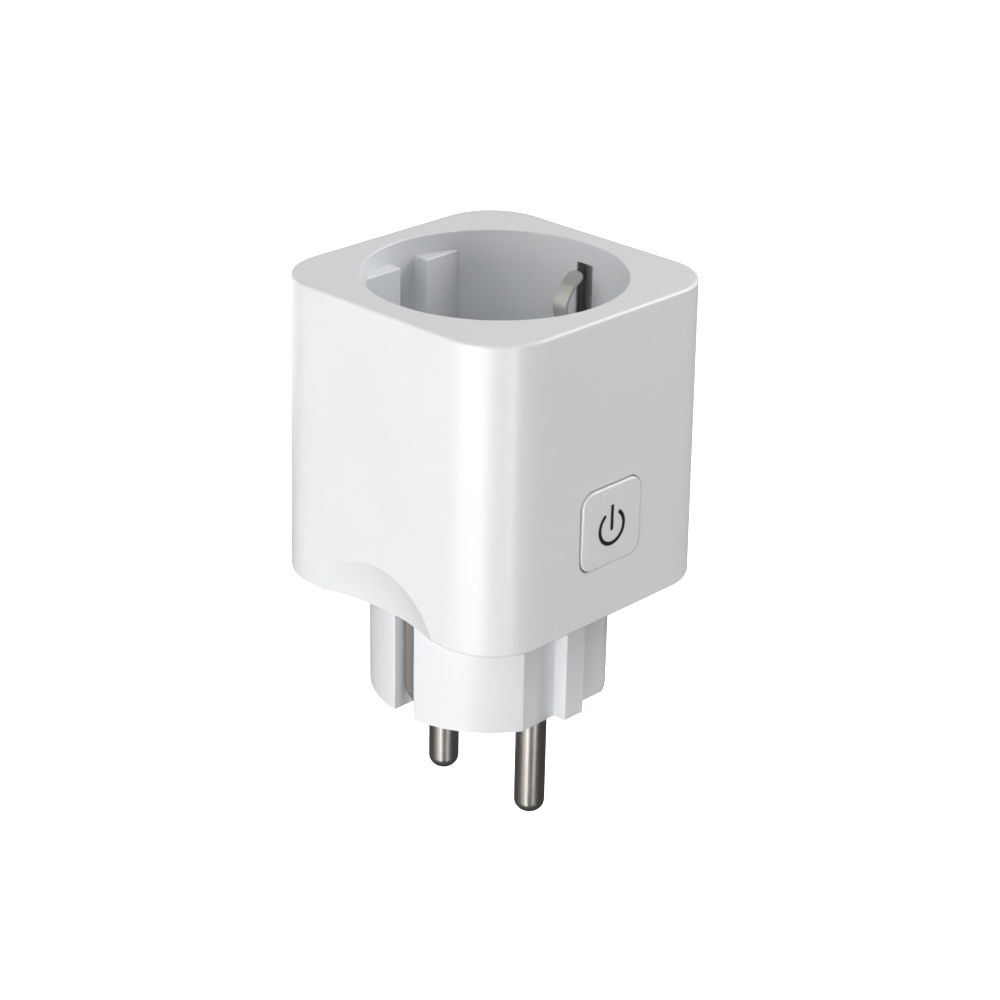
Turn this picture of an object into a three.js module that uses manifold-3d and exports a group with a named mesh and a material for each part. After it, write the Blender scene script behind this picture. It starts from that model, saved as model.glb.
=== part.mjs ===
// A smart plug for a recessed European earthed outlet: a square sleeve with a round socket well on top, a
// round plug insert with two pins below, a power button on one side, and the switching electronics inside.
//
// Millimetres, +Z up. The origin is the middle of the plug insert's end face, the face that bottoms in the
// wall outlet. The pins point down -Z and stand on the Y axis, the earth contacts are on the X axis, and the
// button looks along -Y.

import * as THREE from "three";
import { mergeVertices } from "three/addons/utils/BufferGeometryUtils.js";
import Module from "manifold-3d";

const wasm = await Module();
wasm.setup();

// ---------------------------------------------------------------- driving dimensions

// Sleeve: a square with rounded corners that narrows a little from the bottom to the top.
const BODY_BOTTOM = 19.1;
const BODY_TOP = 66.3;
const HALF_BOTTOM = 24.2;
const HALF_TOP = 23.7;
const CORNER_R = 9.64;
const EDGE_R = 1.0;
const WALL = 2.0;

// Socket well, ribs, grooves and pin apertures.
const WELL_R = 19.55;
const WELL_WALL = 1.6;
const FLOOR_TOP = 48.8;
const FLOOR_BOTTOM = 46.8;
const RIB_FACE = 17.0;
const RIB_TOP = BODY_TOP - 3.0;
const RIB_GROOVE_HALF = 2.55;
const APERTURE_R = 3.0;
const CLIP_SLOT_X = [18.65, 21.6];
const CLIP_SLOT_HALF = 1.6;
const CLIP_SLOT_TOP = 63.0;

// Finger scoops at the foot of the two X faces: each is a cap of a large sphere.
const SCOOP_R = 33.4;
const SCOOP_X = 55.0;
const SCOOP_Z = 14.5;

// Plug insert and pins.
const INSERT_R = 18.33;
const INSERT_FLAT = 16.04;
const RIDGE_HALF = 2.08;
const RIDGE_FACE = 18.25;
const END_WALL = 3.0;
const EARTH_SLOT_HALF = 2.0;
const EARTH_SLOT_FLOOR = 14.4;
const PIN_Y = 9.5;
const PIN_R = 2.4;
const PIN_LENGTH = 20.2;
const PIN_TIP = 2.1;

// Base plate, which closes the sleeve from below.
const PLATE_HALF = 21.85;
const PLATE_TOP = 21.1;

// Button, its window and its switch.
const BUTTON_Z = 34.2;
const BUTTON_HALF = 6.2;
const BUTTON_CORNER = 2.2;
const BUTTON_GAP = 0.2;
const BUTTON_FRONT = -24.34;
const FLANGE_FRONT = -21.75;
const FLANGE_BACK = -20.95;
const SYMBOL_Z = 33.8;
const SYMBOL_R = 2.55;
const SYMBOL_STROKE = 0.6;
const SYMBOL_GAP_ANGLE = THREE.MathUtils.degToRad(38);
const SYMBOL_BAR = [33.3, 37.4];
const SYMBOL_DEPTH = 0.25;
const SYMBOL_PLAY = 0.06;

// Boards and the heights of what stands between the base and the socket floor.
const BOARD = { bottom: 23.8, top: 25.4, halfX: 20.5, halfY: 20.0, corner: 6.5 };
const ON_BOARD = BOARD.top + 0.1;
const CONTROL = { front: -15.6, back: -14.6, bottom: 25.7, top: 40.4, left: -20.2, right: 13.0 };
const CARRIER = { bottom: 42.2, top: 43.8, half: 16.6, corner: 4.0 };
const TOWER = { bottom: 29.8, halfX: 4.6, halfY: 4.8, bore: 3.75 };
const SHUTTER = {
  bottom: 44.1,
  top: 46.55,
  halfAngle: THREE.MathUtils.degToRad(22.5),
  inner: 4.2,
  outer: 13.2,
  hub: 4.5,
  hubBottom: 45.5,
  bore: 2.05,
  pivot: 1.9,
};
const SPRING = { radius: 2.75, turns: 1.5, wireR: 0.22, bottom: 44.2, top: 45.1, legEnd: -4.4 };
const CARRIER_SCREW = 13.2;
const BOARD_SCREW = 16.6;
const BOSS = { bottom: 43.95, radius: 2.4, hole: 1.1, skin: 0.7 };
const STRAP = { thickness: 0.8, width: 3.6, slotX: 15.8, wallX: 19.6, foot: 2.0, jog: 22.3, top: 44.2 };

// Inside of the plug insert: the walls of its hollow and the bosses that hold the pins.
const CUP = { wall: 1.85, slotWall: 1.2, slotHalf: 3.3, bossR: 4.4, bossTop: 6.6 };
const STRAP_OPENING = [15.0, 16.6];
const POST_R = 2.6;
const PIN_PLAY = 0.08;
const PIN_NECK = { radius: 1.5, bottom: 7.0, top: 8.3 };
const PIN_HEAD = { radius: 2.3, top: 9.0 };

// Snap hooks along the Y edges of the base plate, and the play in their pockets.
const HOOK = { x: 12, half: 3.0, inner: 20.3, outer: 21.75, barb: 22.55, top: 26.0, low: 24.0, high: 25.4 };
const HOOK_PLAY = { side: 0.4, face: 0.35, below: 0.3, above: 0.4 };

const ROUND = 48;
const SMALL_ROUND = 16;
const WELD = 1e-4;

// ---------------------------------------------------------------- materials

function paint(hex, roughness, metalness = 0) {
  return new THREE.MeshStandardMaterial({ color: hex, roughness, metalness });
}

const material = {
  housing: paint(0xf1f2f4, 0.28),
  button: paint(0xf1f2f4, 0.3),
  symbol: paint(0x17181a, 0.45),
  pin: paint(0xc6c1b8, 0.25, 1),
  earth: paint(0x9c9a95, 0.35, 1),
  copper: paint(0xd0cdc6, 0.4, 1),
  carrier: paint(0xdcdcd6, 0.55),
  shutter: paint(0xe8e6df, 0.45),
  steel: paint(0xb4b6b8, 0.35, 1),
  board: paint(0x1f5a38, 0.5),
  radioBoard: paint(0x16181b, 0.5),
  chip: paint(0x1b1c1e, 0.6),
  relay: paint(0x1d1e20, 0.4),
  switchBody: paint(0x232426, 0.55),
  plunger: paint(0x2b2b2d, 0.5),
  capacitor: paint(0x1c2026, 0.4),
  inductor: paint(0x2e2f33, 0.7),
  varistor: paint(0x2c5f9e, 0.55),
  resistor: paint(0x4f7f6d, 0.6),
  header: paint(0x202123, 0.6),
  lamp: paint(0xf4f1d8, 0.3),
  manganin: paint(0xb08a62, 0.4, 1),
};

// ---------------------------------------------------------------- shapes

function block(x0, x1, y0, y1, z0, z1) {
  const box = new THREE.BoxGeometry(x1 - x0, y1 - y0, z1 - z0);
  return box.translate((x0 + x1) / 2, (y0 + y1) / 2, (z0 + z1) / 2);
}

function cylinder(radius, z0, z1, x = 0, y = 0, segments = SMALL_ROUND) {
  const round = new THREE.CylinderGeometry(radius, radius, z1 - z0, segments);
  return round.rotateX(Math.PI / 2).translate(x, y, (z0 + z1) / 2);
}

function cylinderAlongY(radius, y0, y1, x, z, segments = SMALL_ROUND) {
  const round = new THREE.CylinderGeometry(radius, radius, y1 - y0, segments);
  return round.translate(x, (y0 + y1) / 2, z);
}

// A closed [radius, height] profile turned about the Z axis.
function turned(profile, segments = SMALL_ROUND) {
  const points = profile.map(([radius, height]) => new THREE.Vector2(radius, height));
  return new THREE.LatheGeometry(points, segments).rotateX(Math.PI / 2);
}

function roundedRectangle(halfX, halfY, corner) {
  const x = halfX - corner;
  const y = halfY - corner;
  const shape = new THREE.Shape();
  shape.absarc(x, y, corner, 0, Math.PI / 2);
  shape.absarc(-x, y, corner, Math.PI / 2, Math.PI);
  shape.absarc(-x, -y, corner, Math.PI, 1.5 * Math.PI);
  shape.absarc(x, -y, corner, 1.5 * Math.PI, 2 * Math.PI);
  return shape;
}

function polygon(points) {
  return new THREE.Shape(points.map(([u, v]) => new THREE.Vector2(u, v)));
}

// A shape in the XY plane raised from z0 to z1, with its rim rounded by bevel when one is given. Each arc of
// the shape gets twice curveSegments.
function prism(shape, z0, z1, { curveSegments = 3, bevel = 0, bevelSegments = 2 } = {}) {
  const raised = new THREE.ExtrudeGeometry(shape, {
    depth: z1 - z0 - 2 * bevel,
    curveSegments,
    bevelEnabled: bevel > 0,
    bevelThickness: bevel,
    bevelSize: bevel,
    bevelOffset: -bevel,
    bevelSegments,
  });
  return raised.translate(0, 0, z0 + bevel);
}

// A shape whose two coordinates are x and z, run from y0 to y1.
function prismAlongY(shape, y0, y1, options) {
  return prism(shape, -y1, -y0, options).rotateX(Math.PI / 2);
}

// A shape whose two coordinates are y and z, run from x0 to x1.
function prismAlongX(shape, x0, x1, options) {
  return prism(shape, x0, x1, options).rotateY(Math.PI / 2).rotateX(Math.PI / 2);
}

// A flat strip of metal bent along a path of [x, z] points, its width centred on y.
function bentStrip(path, thickness, width, y = 0) {
  const points = path.map(([x, z]) => new THREE.Vector2(x, z));
  const last = points.length - 1;
  const sides = [[], []];
  points.forEach((point, i) => {
    const before = point.clone().sub(points[Math.max(i - 1, 0)]).normalize();
    const after = points[Math.min(i + 1, last)].clone().sub(point).normalize();
    const along = before.add(after).normalize();
    const step = points[Math.max(i - 1, 0)].clone().sub(points[Math.max(i - 1, 0) + 1]).normalize();
    const half = thickness / 2 / Math.abs(along.dot(step));
    sides[0].push(new THREE.Vector2(point.x - along.y * half, point.y + along.x * half));
    sides[1].unshift(new THREE.Vector2(point.x + along.y * half, point.y - along.x * half));
  });
  return prismAlongY(new THREE.Shape([...sides[0], ...sides[1]]), y - width / 2, y + width / 2);
}

// A round wire along a path of [x, y, z] points.
function wire(path, radius) {
  const points = path.map((point) => new THREE.Vector3(...point));
  return new THREE.ExtrudeGeometry(new THREE.Shape().absarc(0, 0, radius, 0, 2 * Math.PI), {
    steps: points.length,
    curveSegments: 3,
    bevelEnabled: false,
    extrudePath: new THREE.CatmullRomCurve3(points),
  });
}

// ---------------------------------------------------------------- cuts and joins

function toSolid(geometry) {
  const bare = geometry.clone();
  bare.deleteAttribute("normal");
  bare.deleteAttribute("uv");
  const merged = mergeVertices(bare, WELD);
  return new wasm.Manifold(
    new wasm.Mesh({
      numProp: 3,
      vertProperties: merged.attributes.position.array,
      triVerts: new Uint32Array(merged.index.array),
    }),
  );
}

function toGeometry(solid) {
  const mesh = solid.getMesh();
  return new THREE.BufferGeometry()
    .setAttribute("position", new THREE.BufferAttribute(mesh.vertProperties, 3))
    .setIndex(new THREE.BufferAttribute(mesh.triVerts, 1))
    .toNonIndexed();
}

function join(...pieces) {
  return toGeometry(pieces.map(toSolid).reduce((sum, piece) => sum.add(piece)));
}

function cut(body, ...tools) {
  return toGeometry(tools.map(toSolid).reduce((left, tool) => left.subtract(tool), toSolid(body)));
}

// ---------------------------------------------------------------- building

const plug = new THREE.Group();

function addPart(name, geometry, look) {
  geometry.computeVertexNormals();
  const mesh = new THREE.Mesh(geometry, look);
  mesh.name = name;
  plug.add(mesh);
}

const SIDES = [
  ["left", -1],
  ["right", 1],
];
const POLES = [
  ["line", -1],
  ["neutral", 1],
];
const CORNERS = [
  [1, 1],
  [-1, 1],
  [-1, -1],
  [1, -1],
];

// Narrows a geometry in x and y towards the top, as the sleeve narrows.
function drafted(geometry) {
  const position = geometry.attributes.position;
  const slope = (HALF_TOP - HALF_BOTTOM) / (BODY_TOP - BODY_BOTTOM) / HALF_BOTTOM;
  for (let i = 0; i < position.count; i += 1) {
    const scale = 1 + slope * (position.getZ(i) - BODY_BOTTOM);
    position.setXY(i, position.getX(i) * scale, position.getY(i) * scale);
  }
  return geometry;
}

function scoopSphere(side, radius) {
  return new THREE.SphereGeometry(radius, 72, 36).translate(side * SCOOP_X, 0, SCOOP_Z);
}

// A geometry made for the +X side, turned half a turn about Z when it is wanted on the -X side.
function onSide(geometry, side) {
  return side < 0 ? geometry.rotateZ(Math.PI) : geometry;
}

const HOOK_PLACES = CORNERS.map(([x, y]) => ({ x: HOOK.x * x, y }));

function outerHousing() {
  const sleeve = drafted(
    prism(roundedRectangle(HALF_BOTTOM, HALF_BOTTOM, CORNER_R), BODY_BOTTOM, BODY_TOP, {
      curveSegments: 5,
      bevel: EDGE_R,
    }),
  );
  const inner = HALF_BOTTOM - WALL;
  const fullHollow = drafted(
    prism(roundedRectangle(inner, inner, CORNER_R - WALL), BODY_BOTTOM - 1, BODY_TOP - WALL),
  );
  const bosses = CORNERS.map(([x, y]) =>
    cylinder(BOSS.radius, BOSS.bottom, FLOOR_BOTTOM + 1, x * CARRIER_SCREW, y * CARRIER_SCREW),
  );
  const hollow = cut(
    fullHollow,
    cylinder(WELL_R + WELL_WALL, FLOOR_BOTTOM, BODY_TOP, 0, 0, ROUND),
    ...bosses,
    ...SIDES.map(([, side]) => scoopSphere(side, SCOOP_R + WALL)),
  );
  const ribs = [-1, 1].flatMap((side) =>
    [-1, 1].map((half) =>
      block(
        ...[half * RIB_GROOVE_HALF, half * WELL_R].sort((a, b) => a - b),
        ...[side * RIB_FACE, side * (WELL_R + 1)].sort((a, b) => a - b),
        FLOOR_TOP - 1,
        RIB_TOP,
      ),
    ),
  );
  const well = cut(cylinder(WELL_R, FLOOR_TOP, BODY_TOP + 1, 0, 0, ROUND), ...ribs);
  const apertures = [-1, 1].map((side) =>
    cylinder(APERTURE_R, FLOOR_BOTTOM - 1, FLOOR_TOP + 1, 0, side * PIN_Y, 24),
  );
  const screwHoles = CORNERS.map(([x, y]) =>
    cylinder(BOSS.hole, BOSS.bottom - 1, FLOOR_TOP - BOSS.skin, x * CARRIER_SCREW, y * CARRIER_SCREW, 12),
  );
  const clipSlots = SIDES.map(([, side]) =>
    onSide(
      block(...CLIP_SLOT_X, -CLIP_SLOT_HALF, CLIP_SLOT_HALF, FLOOR_BOTTOM - 1, CLIP_SLOT_TOP),
      side,
    ),
  );
  const hookPockets = HOOK_PLACES.map(({ x, y }) =>
    block(
      x - HOOK.half - HOOK_PLAY.side,
      x + HOOK.half + HOOK_PLAY.side,
      ...[y * HOOK.outer, y * (HOOK.barb + HOOK_PLAY.face)].sort((a, b) => a - b),
      HOOK.low - HOOK_PLAY.below,
      HOOK.high + HOOK_PLAY.above,
    ),
  );
  const windowHalf = BUTTON_HALF + BUTTON_GAP;
  const window = prismAlongY(
    roundedRectangle(windowHalf, windowHalf, BUTTON_CORNER + BUTTON_GAP),
    -HALF_BOTTOM - 1,
    -HALF_BOTTOM + WALL + 1,
    { curveSegments: 3 },
  ).translate(0, 0, BUTTON_Z);
  return cut(
    sleeve,
    hollow,
    well,
    window,
    ...apertures,
    ...screwHoles,
    ...clipSlots,
    ...hookPockets,
    ...SIDES.map(([, side]) => scoopSphere(side, SCOOP_R)),
  );
}

// The plug insert's outline: a round with two flats, and a narrow ridge standing out of each flat.
function insertOutline() {
  const flatHalf = Math.sqrt(INSERT_R ** 2 - INSERT_FLAT ** 2);
  const edge = Math.atan2(INSERT_FLAT, flatHalf);
  const shape = new THREE.Shape();
  shape.absarc(0, 0, INSERT_R, -edge, edge);
  shape.lineTo(RIDGE_HALF, INSERT_FLAT);
  shape.lineTo(RIDGE_HALF, RIDGE_FACE);
  shape.lineTo(-RIDGE_HALF, RIDGE_FACE);
  shape.lineTo(-RIDGE_HALF, INSERT_FLAT);
  shape.absarc(0, 0, INSERT_R, Math.PI - edge, Math.PI + edge);
  shape.lineTo(-RIDGE_HALF, -INSERT_FLAT);
  shape.lineTo(-RIDGE_HALF, -RIDGE_FACE);
  shape.lineTo(RIDGE_HALF, -RIDGE_FACE);
  shape.lineTo(RIDGE_HALF, -INSERT_FLAT);
  return shape;
}

function baseHousing() {
  const cupR = INSERT_R - CUP.wall;
  const cupFlat = INSERT_FLAT - CUP.wall;
  const slotBack = EARTH_SLOT_FLOOR - CUP.slotWall;
  const cup = cut(
    cylinder(cupR, END_WALL, PLATE_TOP + 1, 0, 0, 40),
    block(-cupR - 1, cupR + 1, cupFlat, cupR + 1, 0, PLATE_TOP + 2),
    block(-cupR - 1, cupR + 1, -cupR - 1, -cupFlat, 0, PLATE_TOP + 2),
    ...SIDES.map(([, side]) =>
      onSide(block(slotBack, cupR + 1, -CUP.slotHalf, CUP.slotHalf, 0, PLATE_TOP + 2), side),
    ),
    ...POLES.map(([, side]) => cylinder(CUP.bossR, 0, CUP.bossTop, 0, side * PIN_Y, 24)),
  );
  const hooks = HOOK_PLACES.map(({ x, y }) => {
    const { half, inner, outer, barb, top, low, high } = HOOK;
    const side = polygon([
      [y * inner, PLATE_TOP - 0.6],
      [y * outer, PLATE_TOP - 0.6],
      [y * outer, low],
      [y * barb, low + 0.2],
      [y * outer, high],
      [y * outer, top],
      [y * inner, top],
    ]);
    return prismAlongX(side, x - half, x + half);
  });
  const posts = CORNERS.map(([x, y]) =>
    cylinder(POST_R, PLATE_TOP - 1, BOARD.bottom - 0.2, x * BOARD_SCREW, y * BOARD_SCREW, 14),
  );
  const shell = join(
    prism(insertOutline(), 0, PLATE_TOP - 0.5, { curveSegments: 12 }),
    prism(roundedRectangle(PLATE_HALF, PLATE_HALF, CORNER_R - WALL - 0.3), BODY_BOTTOM, PLATE_TOP),
    ...posts,
    ...hooks,
  );
  return cut(
    shell,
    cup,
    ...POLES.map(([, side]) => cylinder(PIN_R + PIN_PLAY, -1, CUP.bossTop + 1, 0, side * PIN_Y, 20)),
    ...SIDES.flatMap(([, side]) => [
      onSide(
        block(EARTH_SLOT_FLOOR, INSERT_R + 1, -EARTH_SLOT_HALF, EARTH_SLOT_HALF, -1, BODY_BOTTOM),
        side,
      ),
      onSide(
        block(...STRAP_OPENING, -EARTH_SLOT_HALF, EARTH_SLOT_HALF, BODY_BOTTOM - 1, PLATE_TOP + 1),
        side,
      ),
      scoopSphere(side, SCOOP_R + WALL + 0.3),
    ]),
    ...CORNERS.map(([x, y]) =>
      cylinder(BOSS.hole, BODY_BOTTOM + 0.8, BOARD.bottom + 1, x * BOARD_SCREW, y * BOARD_SCREW, 12),
    ),
  );
}

// A plug pin with a rounded tip, a shank moulded into the insert and a riveted tail for its strap.
function pin() {
  const tipSteps = 5;
  const tip = Array.from({ length: tipSteps + 1 }, (_, i) => {
    const angle = (i / tipSteps) * (Math.PI / 2);
    return [PIN_R * Math.sin(angle), -PIN_LENGTH + PIN_TIP * (1 - Math.cos(angle))];
  });
  const tail = [
    [PIN_R, PIN_NECK.bottom],
    [PIN_NECK.radius, PIN_NECK.bottom],
    [PIN_NECK.radius, PIN_NECK.top],
    [PIN_HEAD.radius, PIN_NECK.top],
    [PIN_HEAD.radius, PIN_HEAD.top],
    [0, PIN_HEAD.top],
  ];
  return turned([...tip, ...tail], 20);
}

// The strap that carries a pole from its pin's tail up to the main board.
function pinStrap() {
  const [low, thickness, edge, footHalf, legHalf] = [7.25, 0.8, -7.2, 2.6, 1.7];
  const foot = cut(
    block(edge, 2.7, -footHalf, footHalf, low, low + thickness),
    cylinder(PIN_NECK.radius + 0.12, low - 1, low + 2),
  );
  return join(foot, block(edge, edge + thickness, -legHalf, legHalf, low, BOARD.top + 1));
}

// One side's earth strip: the plug's side contact below, a jog over the base plate, then up the wall.
function earthStrap() {
  const { thickness, width, slotX, wallX, foot, jog, top } = STRAP;
  const taperTop = 5.2;
  const strip = bentStrip(
    [
      [EARTH_SLOT_FLOOR + 0.75, foot],
      [slotX, 4.6],
      [slotX, jog],
      [wallX, jog],
      [wallX, top],
    ],
    thickness,
    width,
  );
  const taper = (side) =>
    prismAlongX(
      polygon([
        [side * 0.5, 0],
        [side * 3, 0],
        [side * 3, taperTop],
        [side * (width / 2), taperTop],
      ]),
      10,
      20,
    );
  return cut(strip, taper(1), taper(-1));
}

// The springy clip that touches the earth contact of whatever is plugged into the socket.
function earthClip() {
  const foot = 20.4;
  const bend = new THREE.SplineCurve(
    [
      [foot, 49.0],
      [19.2, 51.4],
      [15.6, 54.3],
      [14.25, 57.4],
      [15.6, 60.1],
      [18.1, 62.0],
    ].map(([x, z]) => new THREE.Vector2(x, z)),
  );
  const path = [[foot, 43.0], ...bend.getPoints(16).map((point) => [point.x, point.y])];
  return bentStrip(path, 0.6, 2.8);
}

// The split sleeve that grips an inserted pin, with its leg down to the main board.
function socketContact() {
  const outer = 3.2;
  const inner = 2.55;
  const mouth = 0.3;
  const shape = new THREE.Shape();
  shape.absarc(0, 0, outer, mouth, 2 * Math.PI - mouth);
  shape.absarc(0, 0, inner, 2 * Math.PI - mouth, mouth, true);
  const sleeve = prism(shape, 30.2, 41.9, { curveSegments: 10 });
  return join(sleeve, block(-1.5, 1.5, 2.55, 3.15, BOARD.bottom - 0.8, 32));
}

function contactCarrier() {
  const { bottom, top, half, corner } = CARRIER;
  const plate = prism(roundedRectangle(half, half, corner), bottom, top);
  const towers = POLES.map(([, side]) =>
    block(
      -TOWER.halfX,
      TOWER.halfX,
      side * PIN_Y - TOWER.halfY,
      side * PIN_Y + TOWER.halfY,
      TOWER.bottom,
      bottom + 0.5,
    ),
  );
  const pivot = cylinder(SHUTTER.pivot, top - 0.5, SHUTTER.top, 0, 0, 24);
  const springStop = cylinder(0.6, top - 0.5, SPRING.top + 0.2, -3.95, -4.0, 12);
  return cut(
    join(plate, ...towers, pivot, springStop),
    ...POLES.flatMap(([, side]) => [
      cylinder(APERTURE_R + 0.1, TOWER.bottom - 1, top + 1, 0, side * PIN_Y, 24),
      cylinder(TOWER.bore, TOWER.bottom - 1, bottom, 0, side * PIN_Y, 20),
    ]),
    ...CORNERS.map(([x, y]) =>
      cylinder(1.25, bottom - 1, top + 1, x * CARRIER_SCREW, y * CARRIER_SCREW, 12),
    ),
  );
}

// The rotary shutter: two ramped blades on one hub. Two pins pushed in together turn it out of their way.
function safetyShutter() {
  const { bottom, top, halfAngle, inner, outer, hub, hubBottom, bore } = SHUTTER;
  const sector = new THREE.Shape();
  sector.absarc(0, 0, outer, Math.PI / 2 - halfAngle, Math.PI / 2 + halfAngle);
  sector.absarc(0, 0, inner, Math.PI / 2 + halfAngle, Math.PI / 2 - halfAngle, true);
  const ramp = polygon([
    [-4.4, top],
    [7, bottom + 0.4],
    [7, top + 2],
    [-4.4, top + 2],
  ]);
  const blade = cut(prism(sector, bottom, top), prismAlongY(ramp, inner + 1, outer + 1));
  return cut(
    join(cylinder(hub, hubBottom, top, 0, 0, 24), blade, blade.clone().rotateZ(Math.PI)),
    cylinder(bore, bottom, top + 1, 0, 0, 24),
  );
}

// The torsion spring round the shutter's pivot, one leg on the carrier's stop and one on a blade.
function shutterSpring() {
  const { radius, turns, wireR, bottom, top, legEnd } = SPRING;
  const stepsPerTurn = 12;
  const steps = turns * stepsPerTurn;
  const coil = Array.from({ length: steps + 1 }, (_, i) => {
    const angle = (i / stepsPerTurn) * 2 * Math.PI;
    return [radius * Math.cos(angle), radius * Math.sin(angle), bottom + ((top - bottom) * i) / steps];
  });
  const path = [[radius, legEnd, bottom], [radius, legEnd / 2, bottom], ...coil];
  return wire([...path, [-radius, legEnd / 2, top], [-radius, legEnd, top]], wireR);
}

// A pan-head thread-forming screw with a cross recess. Its head rests on z = 0 and faces up.
function panScrew(length) {
  const [shankR, headR, headHeight] = [1.0, 1.9, 1.3];
  const body = turned(
    [
      [0, -length],
      [shankR * 0.45, -length],
      [shankR, -length + 1.2],
      [shankR, 0],
      [headR, 0],
      [headR, headHeight * 0.45],
      [headR * 0.72, headHeight],
      [0, headHeight],
    ],
    12,
  );
  const arm = headR * 0.55;
  const recess = [0, Math.PI / 2].map((turn) =>
    block(-arm, arm, -0.22, 0.22, headHeight * 0.35, headHeight + 1).rotateZ(turn),
  );
  return cut(body, ...recess);
}

// An arc of constant stroke about the origin, open at the top, with round ends.
function openRing(radius, stroke, gapAngle) {
  const end = stroke / 2;
  const [start, stop] = [Math.PI / 2 + gapAngle, 2.5 * Math.PI - gapAngle];
  const shape = new THREE.Shape();
  shape.absarc(0, 0, radius + end, start, stop);
  shape.absarc(radius * Math.cos(stop), radius * Math.sin(stop), end, stop, stop + Math.PI);
  shape.absarc(0, 0, radius - end, stop, start, true);
  const tail = [radius * Math.cos(start), radius * Math.sin(start)];
  shape.absarc(...tail, end, start + Math.PI, start + 2 * Math.PI);
  return shape;
}

function symbolRing(play, y0, y1) {
  const shape = openRing(SYMBOL_R, SYMBOL_STROKE + 2 * play, SYMBOL_GAP_ANGLE);
  return prismAlongY(shape, y0, y1, { curveSegments: 8 }).translate(0, 0, SYMBOL_Z);
}

function symbolBar(play, y0, y1) {
  const [low, high] = SYMBOL_BAR;
  const half = SYMBOL_STROKE / 2 + play;
  const shape = roundedRectangle(half, (high - low) / 2 + play, half - 0.001);
  return prismAlongY(shape, y0, y1, { curveSegments: 2 }).translate(0, 0, (low + high) / 2);
}

function buttonCap() {
  const cap = prismAlongY(
    roundedRectangle(BUTTON_HALF, BUTTON_HALF, BUTTON_CORNER),
    BUTTON_FRONT,
    FLANGE_BACK - 0.1,
    { bevel: 0.3 },
  ).translate(0, 0, BUTTON_Z);
  const flange = prismAlongY(roundedRectangle(7.4, 7.4, 2.6), FLANGE_FRONT, FLANGE_BACK);
  flange.translate(0, 0, BUTTON_Z);
  const stem = cylinderAlongY(2.0, FLANGE_BACK - 0.5, FLANGE_BACK + 0.6, 0, BUTTON_Z);
  const pocket = [BUTTON_FRONT - 1, BUTTON_FRONT + SYMBOL_DEPTH + SYMBOL_PLAY];
  return cut(
    join(cap, flange, stem),
    symbolRing(SYMBOL_PLAY, ...pocket),
    symbolBar(SYMBOL_PLAY, ...pocket),
  );
}

const SWITCH = { half: 3.0, front: -19.2, back: CONTROL.front - 0.1, bore: 1.95, boreEnd: -17.9 };

function buttonSwitch() {
  const { half, front, back, bore, boreEnd } = SWITCH;
  return cut(
    block(-half, half, front, back, BUTTON_Z - half, BUTTON_Z + half),
    cylinderAlongY(bore, front - 1, boreEnd, 0, BUTTON_Z),
  );
}

function switchPlunger() {
  return cylinderAlongY(1.75, -20.3, -18.5, 0, BUTTON_Z);
}

function mainBoard() {
  const { bottom, top, halfX, halfY, corner } = BOARD;
  return cut(
    prism(roundedRectangle(halfX, halfY, corner), bottom, top),
    ...SIDES.map(([, side]) => onSide(block(18.8, halfX + 1, -2.3, 2.3, bottom - 1, top + 1), side)),
    ...POLES.flatMap(([, side]) => [
      block(-7.6, -6.0, side * PIN_Y - 2.1, side * PIN_Y + 2.1, bottom - 1, top + 1),
      onPole(block(-1.9, 1.9, 2.2, 3.5, bottom - 1, top + 1), side),
    ]),
    ...CORNERS.map(([x, y]) =>
      cylinder(1.3, bottom - 1, top + 1, x * BOARD_SCREW, y * BOARD_SCREW, 12),
    ),
  );
}

// Puts a piece made about the origin on a pole's axis, turned so that its +Y side faces outwards.
function onPole(geometry, side) {
  return (side < 0 ? geometry.rotateZ(Math.PI) : geometry).translate(0, side * PIN_Y, 0);
}

function controlBoard() {
  const { front, back, bottom, top, left, right } = CONTROL;
  return cut(
    block(left, right, front, back, bottom, top),
    block(left - 1, -14.2, front - 1, back + 1, bottom - 1, 27.3),
  );
}

function electrolytic(radius, height, x, y) {
  const [low, groove] = [0.0, 2.2];
  return turned(
    [
      [0, low],
      [radius, low],
      [radius, groove],
      [radius - 0.35, groove + 0.4],
      [radius, groove + 0.8],
      [radius, height - 0.4],
      [radius - 0.4, height],
      [0, height],
    ],
    SMALL_ROUND,
  ).translate(x, y, ON_BOARD);
}

function drumInductor(x, y) {
  return turned(
    [
      [0, 0],
      [3.6, 0],
      [3.6, 1.2],
      [3.1, 1.5],
      [3.1, 7.5],
      [3.6, 7.8],
      [3.6, 9.0],
      [0, 9.0],
    ],
    SMALL_ROUND,
  ).translate(x, y, ON_BOARD);
}

// A moulded chip package with a row of bent legs along each long side.
function chip(halfX, halfY, height, legs) {
  const body = block(-halfX, halfX, -halfY, halfY, 0.15, height);
  const pitch = 1.27;
  const feet = [-1, 1].flatMap((side) =>
    Array.from({ length: legs }, (_, i) => {
      const x = (i - (legs - 1) / 2) * pitch;
      const [near, far] = [side * (halfY - 0.3), side * (halfY + 0.9)].sort((a, b) => a - b);
      return block(x - 0.2, x + 0.2, near, far, 0, 0.55);
    }),
  );
  return join(body, ...feet);
}

function shuntResistor() {
  return bentStrip(
    [
      [-3.0, 0],
      [-3.0, 2.4],
      [3.0, 2.4],
      [3.0, 0],
    ],
    0.5,
    2.0,
  )
    .rotateZ(Math.PI / 2)
    .translate(17.3, -7.0, ON_BOARD);
}

function fusibleResistor() {
  return turned(
    [
      [0, 0],
      [0.35, 0],
      [0.35, 1.0],
      [1.3, 1.2],
      [1.6, 1.8],
      [1.6, 8.2],
      [1.3, 8.8],
      [0, 9.0],
    ],
    12,
  ).translate(17.4, 7.2, ON_BOARD);
}

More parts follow.
